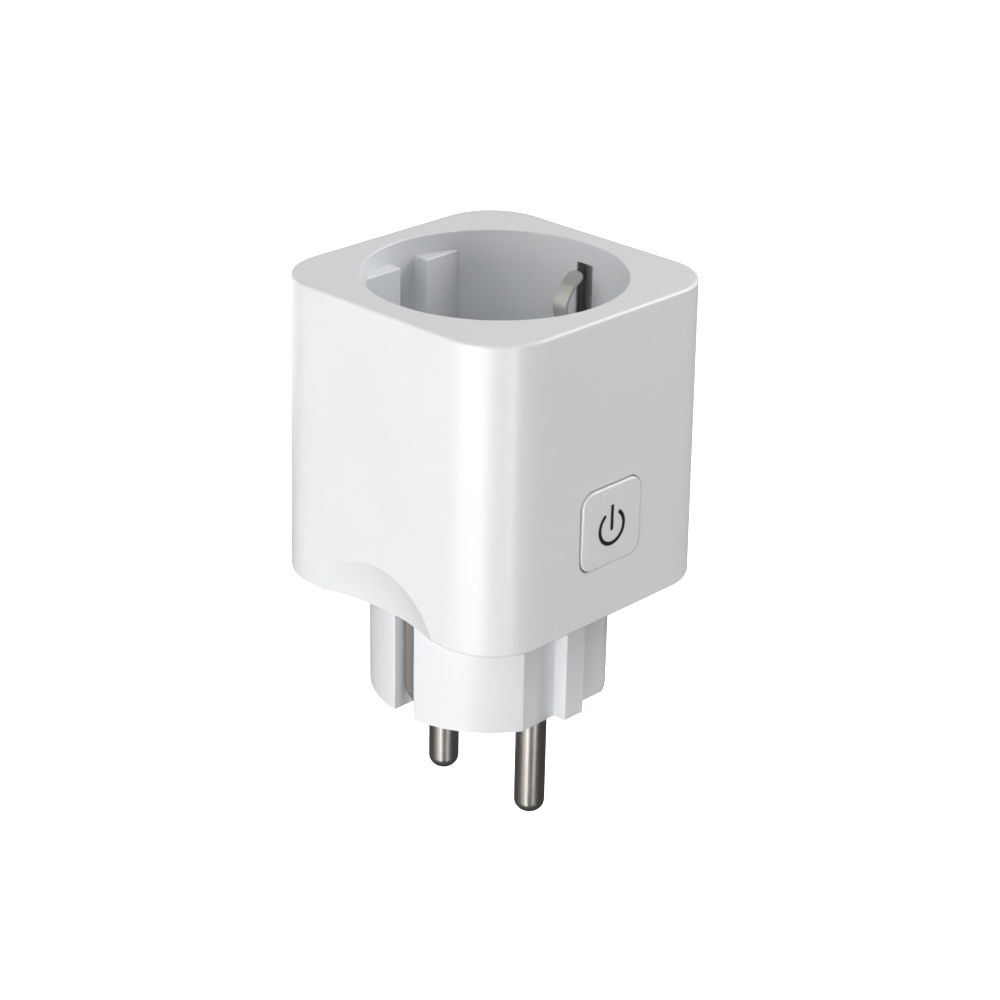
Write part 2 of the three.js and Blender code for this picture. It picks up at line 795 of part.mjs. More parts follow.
function varistor() {
  const disc = cylinderAlongY(4.1, 15.3, 18.5, -9.4, 30.8, 24);
  const legs = [-2.5, 2.5].map((x) => cylinder(0.35, ON_BOARD, 29, -9.4 + x, 16.9, 8));
  return join(disc, ...legs);
}

// ---------------------------------------------------------------- assembly

addPart("outer_housing", outerHousing(), material.housing);
addPart("base_housing", baseHousing(), material.housing);

POLES.forEach(([pole, side]) => {
  addPart(`${pole}_pin`, pin().translate(0, side * PIN_Y, 0), material.pin);
  addPart(`${pole}_pin_strap`, pinStrap().translate(0, side * PIN_Y, 0), material.copper);
  addPart(`${pole}_socket_contact`, onPole(socketContact(), side), material.copper);
});

SIDES.forEach(([name, side]) => {
  addPart(`earth_strap_${name}`, onSide(earthStrap(), side), material.earth);
  addPart(`earth_clip_${name}`, onSide(earthClip(), side), material.earth);
});
addPart("earth_bridge", block(-19.0, 19.0, -2.2, 2.2, 41.2, 42.0), material.earth);

addPart("contact_carrier", contactCarrier(), material.carrier);
addPart("safety_shutter", safetyShutter(), material.shutter);
addPart("shutter_spring", shutterSpring(), material.steel);

CORNERS.forEach(([x, y], i) => {
  const carrierScrew = panScrew(5.8)
    .rotateX(Math.PI)
    .translate(x * CARRIER_SCREW, y * CARRIER_SCREW, CARRIER.bottom - 0.1);
  addPart(`carrier_screw_${i + 1}`, carrierScrew, material.steel);
  const boardScrew = panScrew(5.0).translate(x * BOARD_SCREW, y * BOARD_SCREW, ON_BOARD);
  addPart(`board_screw_${i + 1}`, boardScrew, material.steel);
});

addPart("button_cap", buttonCap(), material.button);
const inlay = [BUTTON_FRONT, BUTTON_FRONT + SYMBOL_DEPTH];
addPart("power_symbol_ring", symbolRing(0, ...inlay), material.symbol);
addPart("power_symbol_bar", symbolBar(0, ...inlay), material.symbol);
addPart("button_switch", buttonSwitch(), material.switchBody);
addPart("switch_plunger", switchPlunger(), material.plunger);
addPart("status_led", block(-1.6, 1.6, -16.8, CONTROL.front - 0.1, 38.4, 39.8), material.lamp);

addPart("main_board", mainBoard(), material.board);
addPart("control_board", controlBoard(), material.board);
addPart("board_header", block(-13.8, -2.2, -14.4, -12.4, ON_BOARD, 27.2), material.header);
addPart("wireless_module", block(-19.9, -5.3, -14.5, -13.7, 27.5, 39.8), material.radioBoard);
addPart("wireless_shield", block(-18.8, -9.4, -13.6, -11.5, 28.6, 38.8), material.steel);

const relay = prism(roundedRectangle(5.1, 9.2, 0.5), ON_BOARD, ON_BOARD + 15.3, {
  curveSegments: 1,
  bevel: 0.4,
  bevelSegments: 1,
});
addPart("relay", relay.translate(10.4, 0, 0), material.relay);
addPart("filter_capacitor_1", electrolytic(4.0, 12.4, -12.8, 9.6), material.capacitor);
addPart("filter_capacitor_2", electrolytic(4.0, 12.4, -12.8, 0.8), material.capacitor);
addPart("output_capacitor", electrolytic(3.15, 7.4, -12.8, -7.2), material.capacitor);
addPart("inductor", drumInductor(9.4, 14.0), material.inductor);
addPart("varistor", varistor(), material.varistor);
addPart("fusible_resistor", fusibleResistor(), material.resistor);
addPart("bridge_rectifier", chip(2.4, 1.9, 2.4, 2).translate(0, 3.2, ON_BOARD), material.chip);
addPart("converter_chip", chip(2.5, 1.7, 1.7, 4).translate(0, -3.0, ON_BOARD), material.chip);
addPart("metering_chip", chip(4.95, 1.5, 1.7, 7).translate(10.6, -11.9, ON_BOARD), material.chip);
addPart("shunt_resistor", shuntResistor(), material.manganin);

export default plug;
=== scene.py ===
"""The looks of a smart plug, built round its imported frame.

Lengths inside the classes are millimetres and become metres when a mesh is made. The frame's origin is
the middle of the plug insert's end face: the pins point down -Z, the socket well opens up +Z and the button
looks along -Y.
"""

from __future__ import annotations

import logging
import math
from dataclasses import dataclass, field
from enum import Enum
from typing import Iterable, Sequence

import bmesh
import bpy
import numpy as np
from mathutils import Matrix, Vector


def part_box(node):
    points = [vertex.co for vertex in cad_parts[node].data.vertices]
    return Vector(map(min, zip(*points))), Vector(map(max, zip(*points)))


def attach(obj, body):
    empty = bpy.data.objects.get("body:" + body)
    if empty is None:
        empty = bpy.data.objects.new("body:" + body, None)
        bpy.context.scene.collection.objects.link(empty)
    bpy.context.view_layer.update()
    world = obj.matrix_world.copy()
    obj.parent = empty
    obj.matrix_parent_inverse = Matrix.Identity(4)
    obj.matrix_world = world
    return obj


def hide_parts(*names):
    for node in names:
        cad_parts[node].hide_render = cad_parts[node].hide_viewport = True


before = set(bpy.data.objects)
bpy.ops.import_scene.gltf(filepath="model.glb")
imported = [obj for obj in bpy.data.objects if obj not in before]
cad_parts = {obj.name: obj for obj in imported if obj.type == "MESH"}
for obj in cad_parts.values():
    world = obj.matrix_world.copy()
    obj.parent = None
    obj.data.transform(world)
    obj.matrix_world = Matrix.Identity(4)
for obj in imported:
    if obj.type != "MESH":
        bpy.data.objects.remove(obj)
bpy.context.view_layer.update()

MM = 0.001
WELD = 2e-7  # metres within which points are one
SHARP_ANGLE = math.radians(32)  # edges that turn by more than this stay sharp
SQUARE_ON = 0.99999  # a normal with a component above this looks straight along an axis
SIDES = (("left", -1), ("right", 1))
POLES = (("line", -1), ("neutral", 1))
CORNERS = ((1, 1), (-1, 1), (-1, -1), (1, -1))
log = logging.getLogger("smart_plug")

Array = np.ndarray


class Body(Enum):
    """The moving bodies of the frame, by the names in its record."""

    PLUG = "plug_body"
    BUTTON = "button"
    PLUNGER = "plunger"
    SHUTTER = "shutter"
    LEFT_CLIP = "left_clip"
    RIGHT_CLIP = "right_clip"


class Axis(Enum):
    """The direction that a shape drawn flat is raised in."""

    X = "x"
    Y = "y"
    Z = "z"


class Join(Enum):
    """How one solid meets another, by the modifier's own words."""

    ADD = "UNION"
    CUT = "DIFFERENCE"


# ------------------------------------------------------------------------------------------------ shapes


@dataclass
class Shape:
    """Closed surface patches: points in millimetres, and faces as index arrays of one size each.

    Args:
        points: (n, 3) places.
        faces: arrays of (m, k) point indices, anticlockwise seen from outside.
    """

    points: Array
    faces: list[Array]

    def mapped(self, matrix: Array) -> Shape:
        """Every point multiplied by a 3 by 3 matrix, the faces turned round if it mirrors."""
        faces = self.faces if np.linalg.det(matrix) > 0 else [f[:, ::-1] for f in self.faces]
        return Shape(self.points @ np.asarray(matrix, float).T, faces)

    def moved(self, x: float = 0.0, y: float = 0.0, z: float = 0.0) -> Shape:
        """The shape shifted by (x, y, z)."""
        return Shape(self.points + np.array([x, y, z]), self.faces)

    def mirrored(self, x: int = 1, y: int = 1) -> Shape:
        """The shape with x or y turned over where its sign is -1."""
        return self.mapped(np.diag([x, y, 1]))

    def turned(self, degrees: float, axis: str = "Z") -> Shape:
        """The shape turned about an axis through the origin."""
        return self.mapped(np.array(Matrix.Rotation(math.radians(degrees), 3, axis)))

    def laid(self, axis: Axis) -> Shape:
        """A shape drawn in (u, v) and raised along w, laid so that w runs along an axis.

        Along Y, u is x and v is z. Along X, u is y and v is z.
        """
        if axis is Axis.Y:
            return self.mapped(np.array([[1, 0, 0], [0, 0, 1], [0, 1, 0]]))
        if axis is Axis.X:
            return self.mapped(np.array([[0, 0, 1], [1, 0, 0], [0, 1, 0]]))
        return self

    def mesh(self, name: str) -> bpy.types.Mesh:
        """A Blender mesh in metres, with coincident points welded and normals facing out."""
        made = bpy.data.meshes.new(name)
        loops = np.concatenate([f.ravel() for f in self.faces]).astype(np.int32)
        sizes = np.concatenate([np.full(len(f), f.shape[1]) for f in self.faces])
        starts = np.concatenate([[0], np.cumsum(sizes)[:-1]]).astype(np.int32)
        made.vertices.add(len(self.points))
        made.vertices.foreach_set("co", (self.points * MM).astype(np.float32).ravel())
        made.loops.add(len(loops))
        made.loops.foreach_set("vertex_index", loops)
        made.polygons.add(len(starts))
        made.polygons.foreach_set("loop_start", starts)
        made.update(calc_edges=True)
        made.validate()
        weld(made)
        return made


def weld(mesh: bpy.types.Mesh, distance: float = WELD) -> None:
    """Merges points that lie together, so that seams and poles close."""
    work = bmesh.new()
    work.from_mesh(mesh)
    bmesh.ops.remove_doubles(work, verts=work.verts, dist=distance)
    bmesh.ops.dissolve_degenerate(work, edges=work.edges, dist=distance / 4)
    work.to_mesh(mesh)
    work.free()


def grid_faces(rows: int, columns: int) -> Array:
    """Quads of a grid of rows of points, each row closed on itself.

    Args:
        rows: number of rows of points.
        columns: number of points in a row.

    Returns:
        (m, 4) point indices.
    """
    row, column = np.meshgrid(np.arange(rows - 1), np.arange(columns), indexing="ij")
    here = row * columns + column
    right = row * columns + (column + 1) % columns
    return np.stack([here, right, right + columns, here + columns], -1).reshape(-1, 4)


def loft(rings: Array) -> Shape:
    """A closed solid through a stack of rings, with a flat cap on the first and the last.

    The surface is a straight blend from each ring to the next at the same place round it.

    Args:
        rings: (rows, columns, 3), each ring anticlockwise seen from the far end of the stack.
    """
    rows, columns = rings.shape[:2]
    last = (rows - 1) * columns
    caps = [np.arange(columns)[::-1][None], (np.arange(columns) + last)[None]]
    return Shape(rings.reshape(-1, 3), [grid_faces(rows, columns), *caps])


def circle(segments: int) -> Array:
    """Angles round a full turn, evenly spaced, none repeated."""
    return np.linspace(0, 2 * np.pi, segments, endpoint=False)


def spun(radius: Array, height: Array, angle: Array) -> Array:
    """Rings about Z: each radius and height, round the angles, as (r cos a, r sin a, z)."""
    return np.stack(
        np.broadcast_arrays(radius * np.cos(angle), radius * np.sin(angle), height), -1
    )


def revolve(profile: Sequence[Sequence[float]], segments: int = 64) -> Shape:
    """A solid of revolution about Z: a point of the profile (r, z) goes to (r cos a, r sin a, z).

    Args:
        profile: (radius, height) pairs from the bottom of the axis up to the top of the axis.
        segments: points round the axis.
    """
    radius, height = np.asarray(profile, float).T[..., None]
    rings = spun(radius, height, circle(segments))
    return Shape(rings.reshape(-1, 3), [grid_faces(len(radius), segments)])


def arc(centre: Sequence[float], radius: float, start: float, stop: float, steps: int = 8) -> Array:
    """Points on an arc: centre + radius (cos a, sin a) with a from start to stop in degrees."""
    angle = np.radians(np.linspace(start, stop, steps + 1))
    return np.asarray(centre, float) + radius * np.stack([np.cos(angle), np.sin(angle)], -1)


def directions(points: Array) -> tuple[Array, Array]:
    """Unit vectors along the sides before and after each point of a closed outline."""
    before = points - np.roll(points, 1, 0)
    after = np.roll(points, -1, 0) - points
    return tuple(side / np.linalg.norm(side, axis=1, keepdims=True) for side in (before, after))


def rounded(corners: Sequence[Sequence[float]], radii: float | Sequence[float], steps: int = 6) -> Array:
    """A polygon with each corner turned into an arc that meets both of its sides along their directions.

    At a corner that turns by t, an arc of radius r starts r tan(t / 2) before the corner, about a centre at
    r to the side that the outline turns to.

    Args:
        corners: (n, 2) corner points in order.
        radii: one radius, or one for each corner. 0 leaves the corner as it is.
        steps: divisions of each arc.

    Returns:
        (m, 2) outline points, none repeated.
    """
    points = np.asarray(corners, float)
    radius = np.broadcast_to(np.asarray(radii, float), len(points))
    before, after = directions(points)
    turn = np.arctan2(before[:, 0] * after[:, 1] - before[:, 1] * after[:, 0], (before * after).sum(1))
    start = points - before * (radius * np.tan(np.abs(turn) / 2))[:, None]
    inward = np.stack([-before[:, 1], before[:, 0]], -1) * np.sign(turn)[:, None]
    centre = start + inward * radius[:, None]
    first = np.arctan2(-inward[:, 1], -inward[:, 0])
    angle = first[:, None] + turn[:, None] * np.linspace(0, 1, steps + 1)
    arcs = centre[:, None] + radius[:, None, None] * np.stack([np.cos(angle), np.sin(angle)], -1)
    arcs = np.where((radius > 0)[:, None, None], arcs, points[:, None])
    return distinct(arcs.reshape(-1, 2))


def distinct(points: Array, least: float = 1e-5) -> Array:
    """Closed-outline points without those that repeat the one before."""
    apart = np.linalg.norm(points - np.roll(points, 1, 0), axis=1) > least
    return points[apart]


def rectangle(half_u: float, half_v: float, radius: float = 0.0, steps: int = 8) -> Array:
    """A rectangle about the origin with rounded corners, anticlockwise."""
    corners = [(half_u, -half_v), (half_u, half_v), (-half_u, half_v), (-half_u, -half_v)]
    return rounded(corners, radius, steps)


def inset(outline: Array, amount: Array) -> Array:
    """An outline moved inwards at right angles to itself, once for each amount.

    At a corner it moves further, by 1 / cos of half the turn, so that both sides stay the same distance in.

    Args:
        outline: (n, 2) anticlockwise points.
        amount: (k,) distances.

    Returns:
        (k, n, 2) outlines.
    """
    before, after = directions(outline)
    inward = np.stack([-(before + after)[:, 1], (before + after)[:, 0]], -1)
    inward /= np.linalg.norm(inward, axis=1, keepdims=True)
    mitre = 1 / np.clip((inward * np.stack([-before[:, 1], before[:, 0]], -1)).sum(1), 0.3, 1)
    return outline + np.asarray(amount)[:, None, None] * (inward * mitre[:, None])


def rim_profile(low: float, high: float, bottom: float, top: float, steps: int = 5) -> Array:
    """(inset, height) pairs up a wall whose bottom and top edges are quarter rounds of the given radii."""
    angle = np.linspace(0, np.pi / 2, steps + 1)
    foot = np.stack([bottom * (1 - np.sin(angle)), low + bottom * (1 - np.cos(angle))], -1)
    head = np.stack([top * (1 - np.cos(angle)), high - top * (1 - np.sin(angle))], -1)
    return distinct(np.vstack([foot if bottom else foot[-1:], head if top else head[:1]]))


def stacked(outline: Array, profile: Array) -> Shape:
    """A solid whose outline is moved inwards by a different amount at each height.

    Args:
        outline: (n, 2) anticlockwise points.
        profile: (k, 2) pairs of inset and height, from the bottom up.
    """
    profile = np.asarray(profile, float)
    rings = inset(outline, profile[:, 0])
    heights = np.broadcast_to(profile[:, 1][:, None, None], (*rings.shape[:2], 1))
    return loft(np.concatenate([rings, heights], -1))


def slab(
    outline: Array, low: float, high: float, bottom: float = 0.0, top: float = 0.0, steps: int = 5
) -> Shape:
    """An outline raised from low to high, with its two rims rounded.

    Each ring is the outline moved inwards by the quarter round's shortfall at that height.

    Args:
        outline: (n, 2) points, either way round.
        low: height of the bottom.
        high: height of the top.
        bottom: radius of the bottom rim.
        top: radius of the top rim.
        steps: divisions of each quarter round.
    """
    following = np.roll(outline, -1, 0)
    if (outline[:, 0] * following[:, 1] - outline[:, 1] * following[:, 0]).sum() < 0:
        outline = outline[::-1]
    return stacked(outline, rim_profile(low, high, bottom, top, steps))


def disc(radius: float, low: float, high: float, segments: int = 32, rim: float = 0.0) -> Shape:
    """A round bar about Z: its radius is less by the rim's quarter round at each height."""
    profile = rim_profile(low, high, rim, rim, 3)
    inside = [(0, low), *np.stack([radius - profile[:, 0], profile[:, 1]], -1), (0, high)]
    return revolve(inside, segments)


def turning(*profile: tuple[float, float], segments: int = 32) -> Shape:
    """A turned solid whose profile is closed to the axis at both of its ends."""
    return revolve([(0, profile[0][1]), *profile, (0, profile[-1][1])], segments)


def soft_box(
    low: Sequence[float], high: Sequence[float], corner: float, rim: float, axis: Axis = Axis.Z
) -> Shape:
    """A box between two corners with rounded upright edges and rims.

    Args:
        low: lowest corner.
        high: highest corner.
        corner: radius of the edges along the axis.
        rim: radius of the edges round both ends.
        axis: the direction that the upright edges run in.
    """
    order = {Axis.X: (1, 2, 0), Axis.Y: (0, 2, 1), Axis.Z: (0, 1, 2)}[axis]
    lo, hi = np.asarray(low, float)[list(order)], np.asarray(high, float)[list(order)]
    half, centre = (hi - lo) / 2, (hi + lo) / 2
    made = slab(rectangle(half[0], half[1], corner, 5), lo[2], hi[2], rim, rim, 4)
    return made.moved(centre[0], centre[1]).laid(axis)


def bent_path(points: Sequence[Sequence[float]], radius: float, steps: int = 8) -> Array:
    """An open path of straight runs whose inner corners are bends of one radius."""
    radii = [0.0, *[radius] * (len(points) - 2), 0.0]
    ends = rounded(points, radii, steps)
    first = int(np.argmin(np.linalg.norm(ends - np.asarray(points[0], float), axis=1)))
    return np.roll(ends, -first, 0)


def spline_path(points: Sequence[Sequence[float]], samples: int) -> Array:
    """A smooth open path through points: the uniform Catmull-Rom cubic of each four neighbours."""
    knots = np.asarray(points, float)
    padded = np.vstack([2 * knots[0] - knots[1], knots, 2 * knots[-1] - knots[-2]])
    place = np.linspace(0, len(knots) - 1 - 1e-9, samples)
    span, t = place.astype(int), (place % 1)[:, None]
    a, b, c, d = (padded[span + i] for i in range(4))
    return 0.5 * (2 * b + (c - a) * t + (2 * a - 5 * b + 4 * c - d) * t**2 + (3 * b - a - 3 * c + d) * t**3)


def travelled(path: Array) -> Array:
    """How far along an open path each of its points is."""
    return np.concatenate([[0], np.cumsum(np.linalg.norm(np.diff(path, axis=0), axis=1))])


def densify(path: Array, step: float) -> Array:
    """An open path with points added so that none are further apart than a step."""
    travel = travelled(path)
    places = np.union1d(travel, np.arange(0, travel[-1], step))
    return np.stack([np.interp(places, travel, column) for column in path.T], -1)


def tangents(path: Array) -> Array:
    """Unit vectors along an open path, from the differences of each point's neighbours."""
    along = np.gradient(path, axis=0)
    return along / np.linalg.norm(along, axis=1, keepdims=True)


def ribbon(path: Array, thickness: float, width: Array | float, edge: float = 0.12) -> Shape:
    """A flat strip bent along an (x, z) path, its width lying along Y.

    Each ring is a rounded rectangle across the path: its thickness lies along the path's normal and its
    width along Y.

    Args:
        path: (n, 2) points of the middle of the strip.
        thickness: of the metal.
        width: one width, or one for each point.
        edge: radius of the strip's long edges.
    """
    tangent = tangents(path)
    normal = np.stack([tangent[:, 1], -tangent[:, 0]], -1)
    wide = np.broadcast_to(np.asarray(width, float), len(path))
    section = rectangle(thickness / 2, 1.0, edge, 4)
    side = np.sign(section[:, 1])
    across = (section[:, 1] - side)[None] + side[None] * wide[:, None] / 2
    x, z = (path[:, i, None] + normal[:, i, None] * section[:, 0] for i in (0, 1))
    return loft(np.stack([x, across, z], -1))


def tube(path: Array, radius: float | Array, sides: int = 12, across: Sequence[float] = (0, 0, 1)) -> Shape:
    """A round wire along a path: at each point, radius (cos a, sin a) in the plane across the path.

    Args:
        path: (n, 3) centre points.
        radius: of the wire, one or one for each point.
        sides: points round the wire.
        across: a direction that the path never runs in.
    """
    tangent = tangents(path)
    up = np.asarray(across, float) - tangent * (tangent @ np.asarray(across, float))[:, None]
    up /= np.linalg.norm(up, axis=1, keepdims=True)
    out = np.cross(up, tangent)
    angle = circle(sides)[:, None]
    wide = np.broadcast_to(np.asarray(radius, float), len(path))[:, None, None]
    rings = path[:, None] + wide * (up[:, None] * np.sin(angle) + out[:, None] * np.cos(angle))
    return loft(rings)


Solid = Shape | bpy.types.Mesh


def as_mesh(part: Solid, name: str = "part") -> bpy.types.Mesh:
    """A part as a mesh, whether it is one already or is still a shape."""
    return part.mesh(name) if isinstance(part, Shape) else part


def combine(body: Solid, others: Iterable[Solid], how: Join) -> bpy.types.Mesh:
    """A part joined with others or cut by them, each by a Boolean modifier that is then applied.

    Args:
        body: the part to start from.
        others: closed parts, taken one after another.
        how: whether they are added or cut away.

    Returns:
        The new mesh.
    """
    spares = [bpy.data.objects.new("part", as_mesh(part)) for part in (body, *others)]
    for spare in spares:
        bpy.context.scene.collection.objects.link(spare)
    whole = spares[0]
    for tool in spares[1:]:
        modifier = whole.modifiers.new("join", "BOOLEAN")
        modifier.object = tool
        modifier.operation = how.value
        modifier.solver = "MANIFOLD"
    graph = bpy.context.evaluated_depsgraph_get()
    made = bpy.data.meshes.new_from_object(whole.evaluated_get(graph))
    for spare in spares:
        bpy.data.objects.remove(spare)
    weld(made, WELD / 2)
    return made


def cut(body: Solid, *tools: Solid) -> bpy.types.Mesh:
    """A part with closed parts cut away from it, one after another."""
    return combine(body, tools, Join.CUT)


def added(body: Solid, *others: Solid) -> bpy.types.Mesh:
    """A part with closed parts added to it, one after another."""
    return combine(body, others, Join.ADD)


def gathered(parts: Iterable[Solid]) -> bpy.types.Mesh:
    """Several parts as one mesh, each still a closed shell of its own."""
    work = bmesh.new()
    for part in parts:
        work.from_mesh(as_mesh(part))
    made = bpy.data.meshes.new("gathered")
    work.to_mesh(made)
    work.free()
    return made


def placed(mesh: bpy.types.Mesh, place: Sequence[float], turn: float = 0.0) -> bpy.types.Mesh:
    """A mesh turned about Z by an angle in radians and then shifted by a place in millimetres."""
    mesh.transform(Matrix.Translation(Vector(place) * MM) @ Matrix.Rotation(turn, 4, "Z"))
    return mesh


def at_corners(shape: Shape, place: float) -> list[Shape]:
    """Copies of a shape at the four corners of a square."""
    return [shape.moved(x * place, y * place) for x, y in CORNERS]


def at_poles(shape: Shape, place: float) -> list[Shape]:
    """Copies of a shape on the line side and on the neutral side."""
    return [shape.moved(y=side * place) for _, side in POLES]


def box_mm(node: str) -> tuple[Array, Array]:
    """A CAD node's lowest and highest corners in millimetres."""
    low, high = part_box(node)
    return np.array(low) / MM, np.array(high) / MM


# ------------------------------------------------------------------------------------------------ finishes


class Bench:
    """A material's node tree, with short calls to add and join nodes."""

    def __init__(self, name: str) -> None:
        """Starts a material that has one Principled shader and Object coordinates."""
        self.material = bpy.data.materials.new(name)
        self.material.use_nodes = True
        self.tree = self.material.node_tree
        self.shader = self.tree.nodes["Principled BSDF"]
        self.place = self.add("ShaderNodeTexCoord").outputs["Object"]

    def add(self, kind: str, **values: object) -> bpy.types.Node:
        """A new node: a value goes to the input of that name, or else to the node's own property."""
        node = self.tree.nodes.new(kind)
        for name, value in values.items():
            socket = node.inputs.get(name.replace("_", " "))
            if socket is not None:
                socket.default_value = value
            else:
                setattr(node, name, value)
        return node

    def join(self, start: bpy.types.NodeSocket, end: bpy.types.NodeSocket) -> None:
        """Links an output to an input."""
        self.tree.links.new(start, end)

    def stretched(self, scale: Sequence[float]) -> bpy.types.NodeSocket:
        """Object coordinates scaled along each axis, in repeats per metre."""
        mapping = self.add("ShaderNodeMapping", Scale=tuple(scale))
        self.join(self.place, mapping.inputs["Vector"])
        return mapping.outputs["Vector"]

    def noise(
        self, scale: float, detail: float = 3.0, at: bpy.types.NodeSocket | None = None
    ) -> bpy.types.NodeSocket:
        """Soft noise between 0 and 1, of a size of about 1 / scale metres."""
        node = self.add("ShaderNodeTexNoise", Scale=scale, Detail=detail, Roughness=0.55)
        self.join(at or self.place, node.inputs["Vector"])
        return node.outputs["Fac"]

    def ranged(
        self,
        value: bpy.types.NodeSocket,
        low: float = 0.0,
        high: float = 1.0,
        source: tuple[float, float] = (0.3, 0.7),
    ) -> bpy.types.NodeSocket:
        """A value spread from its source range, which is a noise's own unless given, over low to high."""
        start, stop = source
        node = self.add("ShaderNodeMapRange", From_Min=start, From_Max=stop, To_Min=low, To_Max=high)
        self.join(value, node.inputs["Value"])
        return node.outputs["Result"]

    def blended(
        self, share: bpy.types.NodeSocket, first: Sequence[float], second: Sequence[float]
    ) -> bpy.types.NodeSocket:
        """Two colours mixed by a share."""
        node = self.add("ShaderNodeMix", data_type="RGBA")
        colours = [socket for socket in node.inputs if socket.type == "RGBA"]
        colours[0].default_value = (*first, 1)
        colours[1].default_value = (*second, 1)
        self.join(share, node.inputs["Factor"])
        return [socket for socket in node.outputs if socket.type == "RGBA"][0]

    def bump(self, heights: Sequence[tuple[bpy.types.NodeSocket, float, float]]) -> None:
        """Stacks bumps on the shader's normal: each is a height, a strength and a depth in metres."""
        before = None
        for height, strength, distance in heights:
            node = self.add("ShaderNodeBump", Strength=strength, Distance=distance)
            self.join(height, node.inputs["Height"])
            if before is not None:
                self.join(before, node.inputs["Normal"])
            before = node.outputs["Normal"]
        self.join(before, self.shader.inputs["Normal"])

    def set(self, **values: object) -> None:
        """Sets the shader's own sockets, by name with _ for a space."""
        for name, value in values.items():
            self.shader.inputs[name.replace("_", " ")].default_value = value


@dataclass(frozen=True)
class MouldedPlastic:
    """Moulded plastic: an even colour with faint flow clouds, and a fine spark-eroded skin.

    Args:
        name: of the material.
        colour: linear red, green, blue.
        roughness: middle roughness of the skin.
        grain: strength of the fine skin.
        cloud: how far the colour drifts.
        subsurface: share of light that goes into the plastic.
        grain_size: size of the skin's pits, in metres.
    """

    name: str
    colour: tuple[float, float, float]
    roughness: float = 0.3
    grain: float = 0.05
    cloud: float = 0.012
    subsurface: float = 0.0
    grain_size: float = 0.00016

    def make(self) -> bpy.types.Material:
        """The finished material."""
        bench = Bench(self.name)
        light = tuple(min(1.0, c * (1 + self.cloud)) for c in self.colour)
        dark = tuple(c * (1 - self.cloud) for c in self.colour)
        drift = bench.ranged(bench.noise(55, 2))
        bench.join(bench.blended(drift, dark, light), bench.shader.inputs["Base Color"])
        skin = bench.ranged(bench.noise(900, 3), self.roughness * 0.93, self.roughness * 1.07)
        bench.join(skin, bench.shader.inputs["Roughness"])
        pits = (bench.noise(1 / self.grain_size, 2), self.grain, 0.00001)
        waves = (bench.noise(160, 1), self.grain * 0.6, 0.00004)
        bench.bump([pits, waves])
        bench.set(IOR=1.49, Specular_IOR_Level=0.5, Subsurface_Weight=self.subsurface)
        bench.set(Subsurface_Radius=(0.0012, 0.001, 0.0009), Subsurface_Scale=1.0)
        return bench.material


@dataclass(frozen=True)
class PlatedMetal:
    """Plated metal with draw or roll lines: noise stretched along one axis gives fine scratches.

    Args:
        name: of the material.
        colour: linear red, green, blue.
        roughness: middle roughness.
        lines: repeats per metre along x, y and z. The small one is the way the lines run.
        depth: strength of the lines.
        spread: how far the roughness drifts from line to line.
    """

    name: str
    colour: tuple[float, float, float]
    roughness: float = 0.25
    lines: tuple[float, float, float] = (9000, 9000, 150)
    depth: float = 0.08
    spread: float = 0.2

    def make(self) -> bpy.types.Material:
        """The finished material."""
        bench = Bench(self.name)
        drawn = bench.noise(1.0, 4, bench.stretched(self.lines))
        tarnish = bench.ranged(bench.noise(260, 4))
        dark = tuple(c * 0.9 for c in self.colour)
        bench.join(bench.blended(tarnish, dark, self.colour), bench.shader.inputs["Base Color"])
        satin = bench.ranged(drawn, self.roughness * (1 - self.spread), self.roughness * (1 + self.spread))
        bench.join(satin, bench.shader.inputs["Roughness"])
        bench.bump([(drawn, self.depth, 0.00001), (bench.noise(1400, 3), self.depth * 0.5, 0.00002)])
        bench.set(Metallic=1.0)
        return bench.material


@dataclass(frozen=True)
class SolderMask:
    """Solder mask over copper: lighter, slightly raised bands where tracks run under it, on a woven board.

    Args:
        name: of the material.
        colour: linear red, green, blue over bare board.
        track: linear red, green, blue over copper.
        pitch: distance between tracks, in metres.
        stretch: how much slower the noise changes along a track than across it.
        step: the noise's values between which a track's edge rises.
    """

    name: str
    colour: tuple[float, float, float]
    track: tuple[float, float, float]
    pitch: float = 0.0016
    stretch: float = 0.09
    step: tuple[float, float] = (0.575, 0.595)

    def make(self) -> bpy.types.Material:
        """The finished material: noise stretched along X and along Z and stepped into bands is the tracks."""
        bench = Bench(self.name)
        rate = 1 / self.pitch
        slow = rate * self.stretch
        along = bench.noise(1.0, 1, bench.stretched((slow, rate, rate)))
        across = bench.noise(1.0, 1, bench.stretched((rate, slow, slow)))
        either = bench.add("ShaderNodeMath", operation="MAXIMUM")
        bench.join(along, either.inputs[0])
        bench.join(across, either.inputs[1])
        tracks = bench.ranged(either.outputs[0], source=self.step)
        bench.join(bench.blended(tracks, self.colour, self.track), bench.shader.inputs["Base Color"])
        bench.join(bench.ranged(bench.noise(700, 3), 0.3, 0.42), bench.shader.inputs["Roughness"])
        bench.bump([(tracks, 0.4, 0.00003), (bench.noise(2600, 2), 0.12, 0.00001)])
        bench.set(IOR=1.5, Coat_Weight=0.3, Coat_Roughness=0.2)
        return bench.material


Finish = MouldedPlastic | PlatedMetal | SolderMask


@dataclass
class Finishes:
    """Every finish of the plug, each made once."""

    made: dict[str, bpy.types.Material] = field(default_factory=dict)

    def of(self, finish: Finish) -> bpy.types.Material:
        """The material of a finish, made on its first use."""
        if finish.name not in self.made:
            self.made[finish.name] = finish.make()
        return self.made[finish.name]


FINISHES = Finishes()

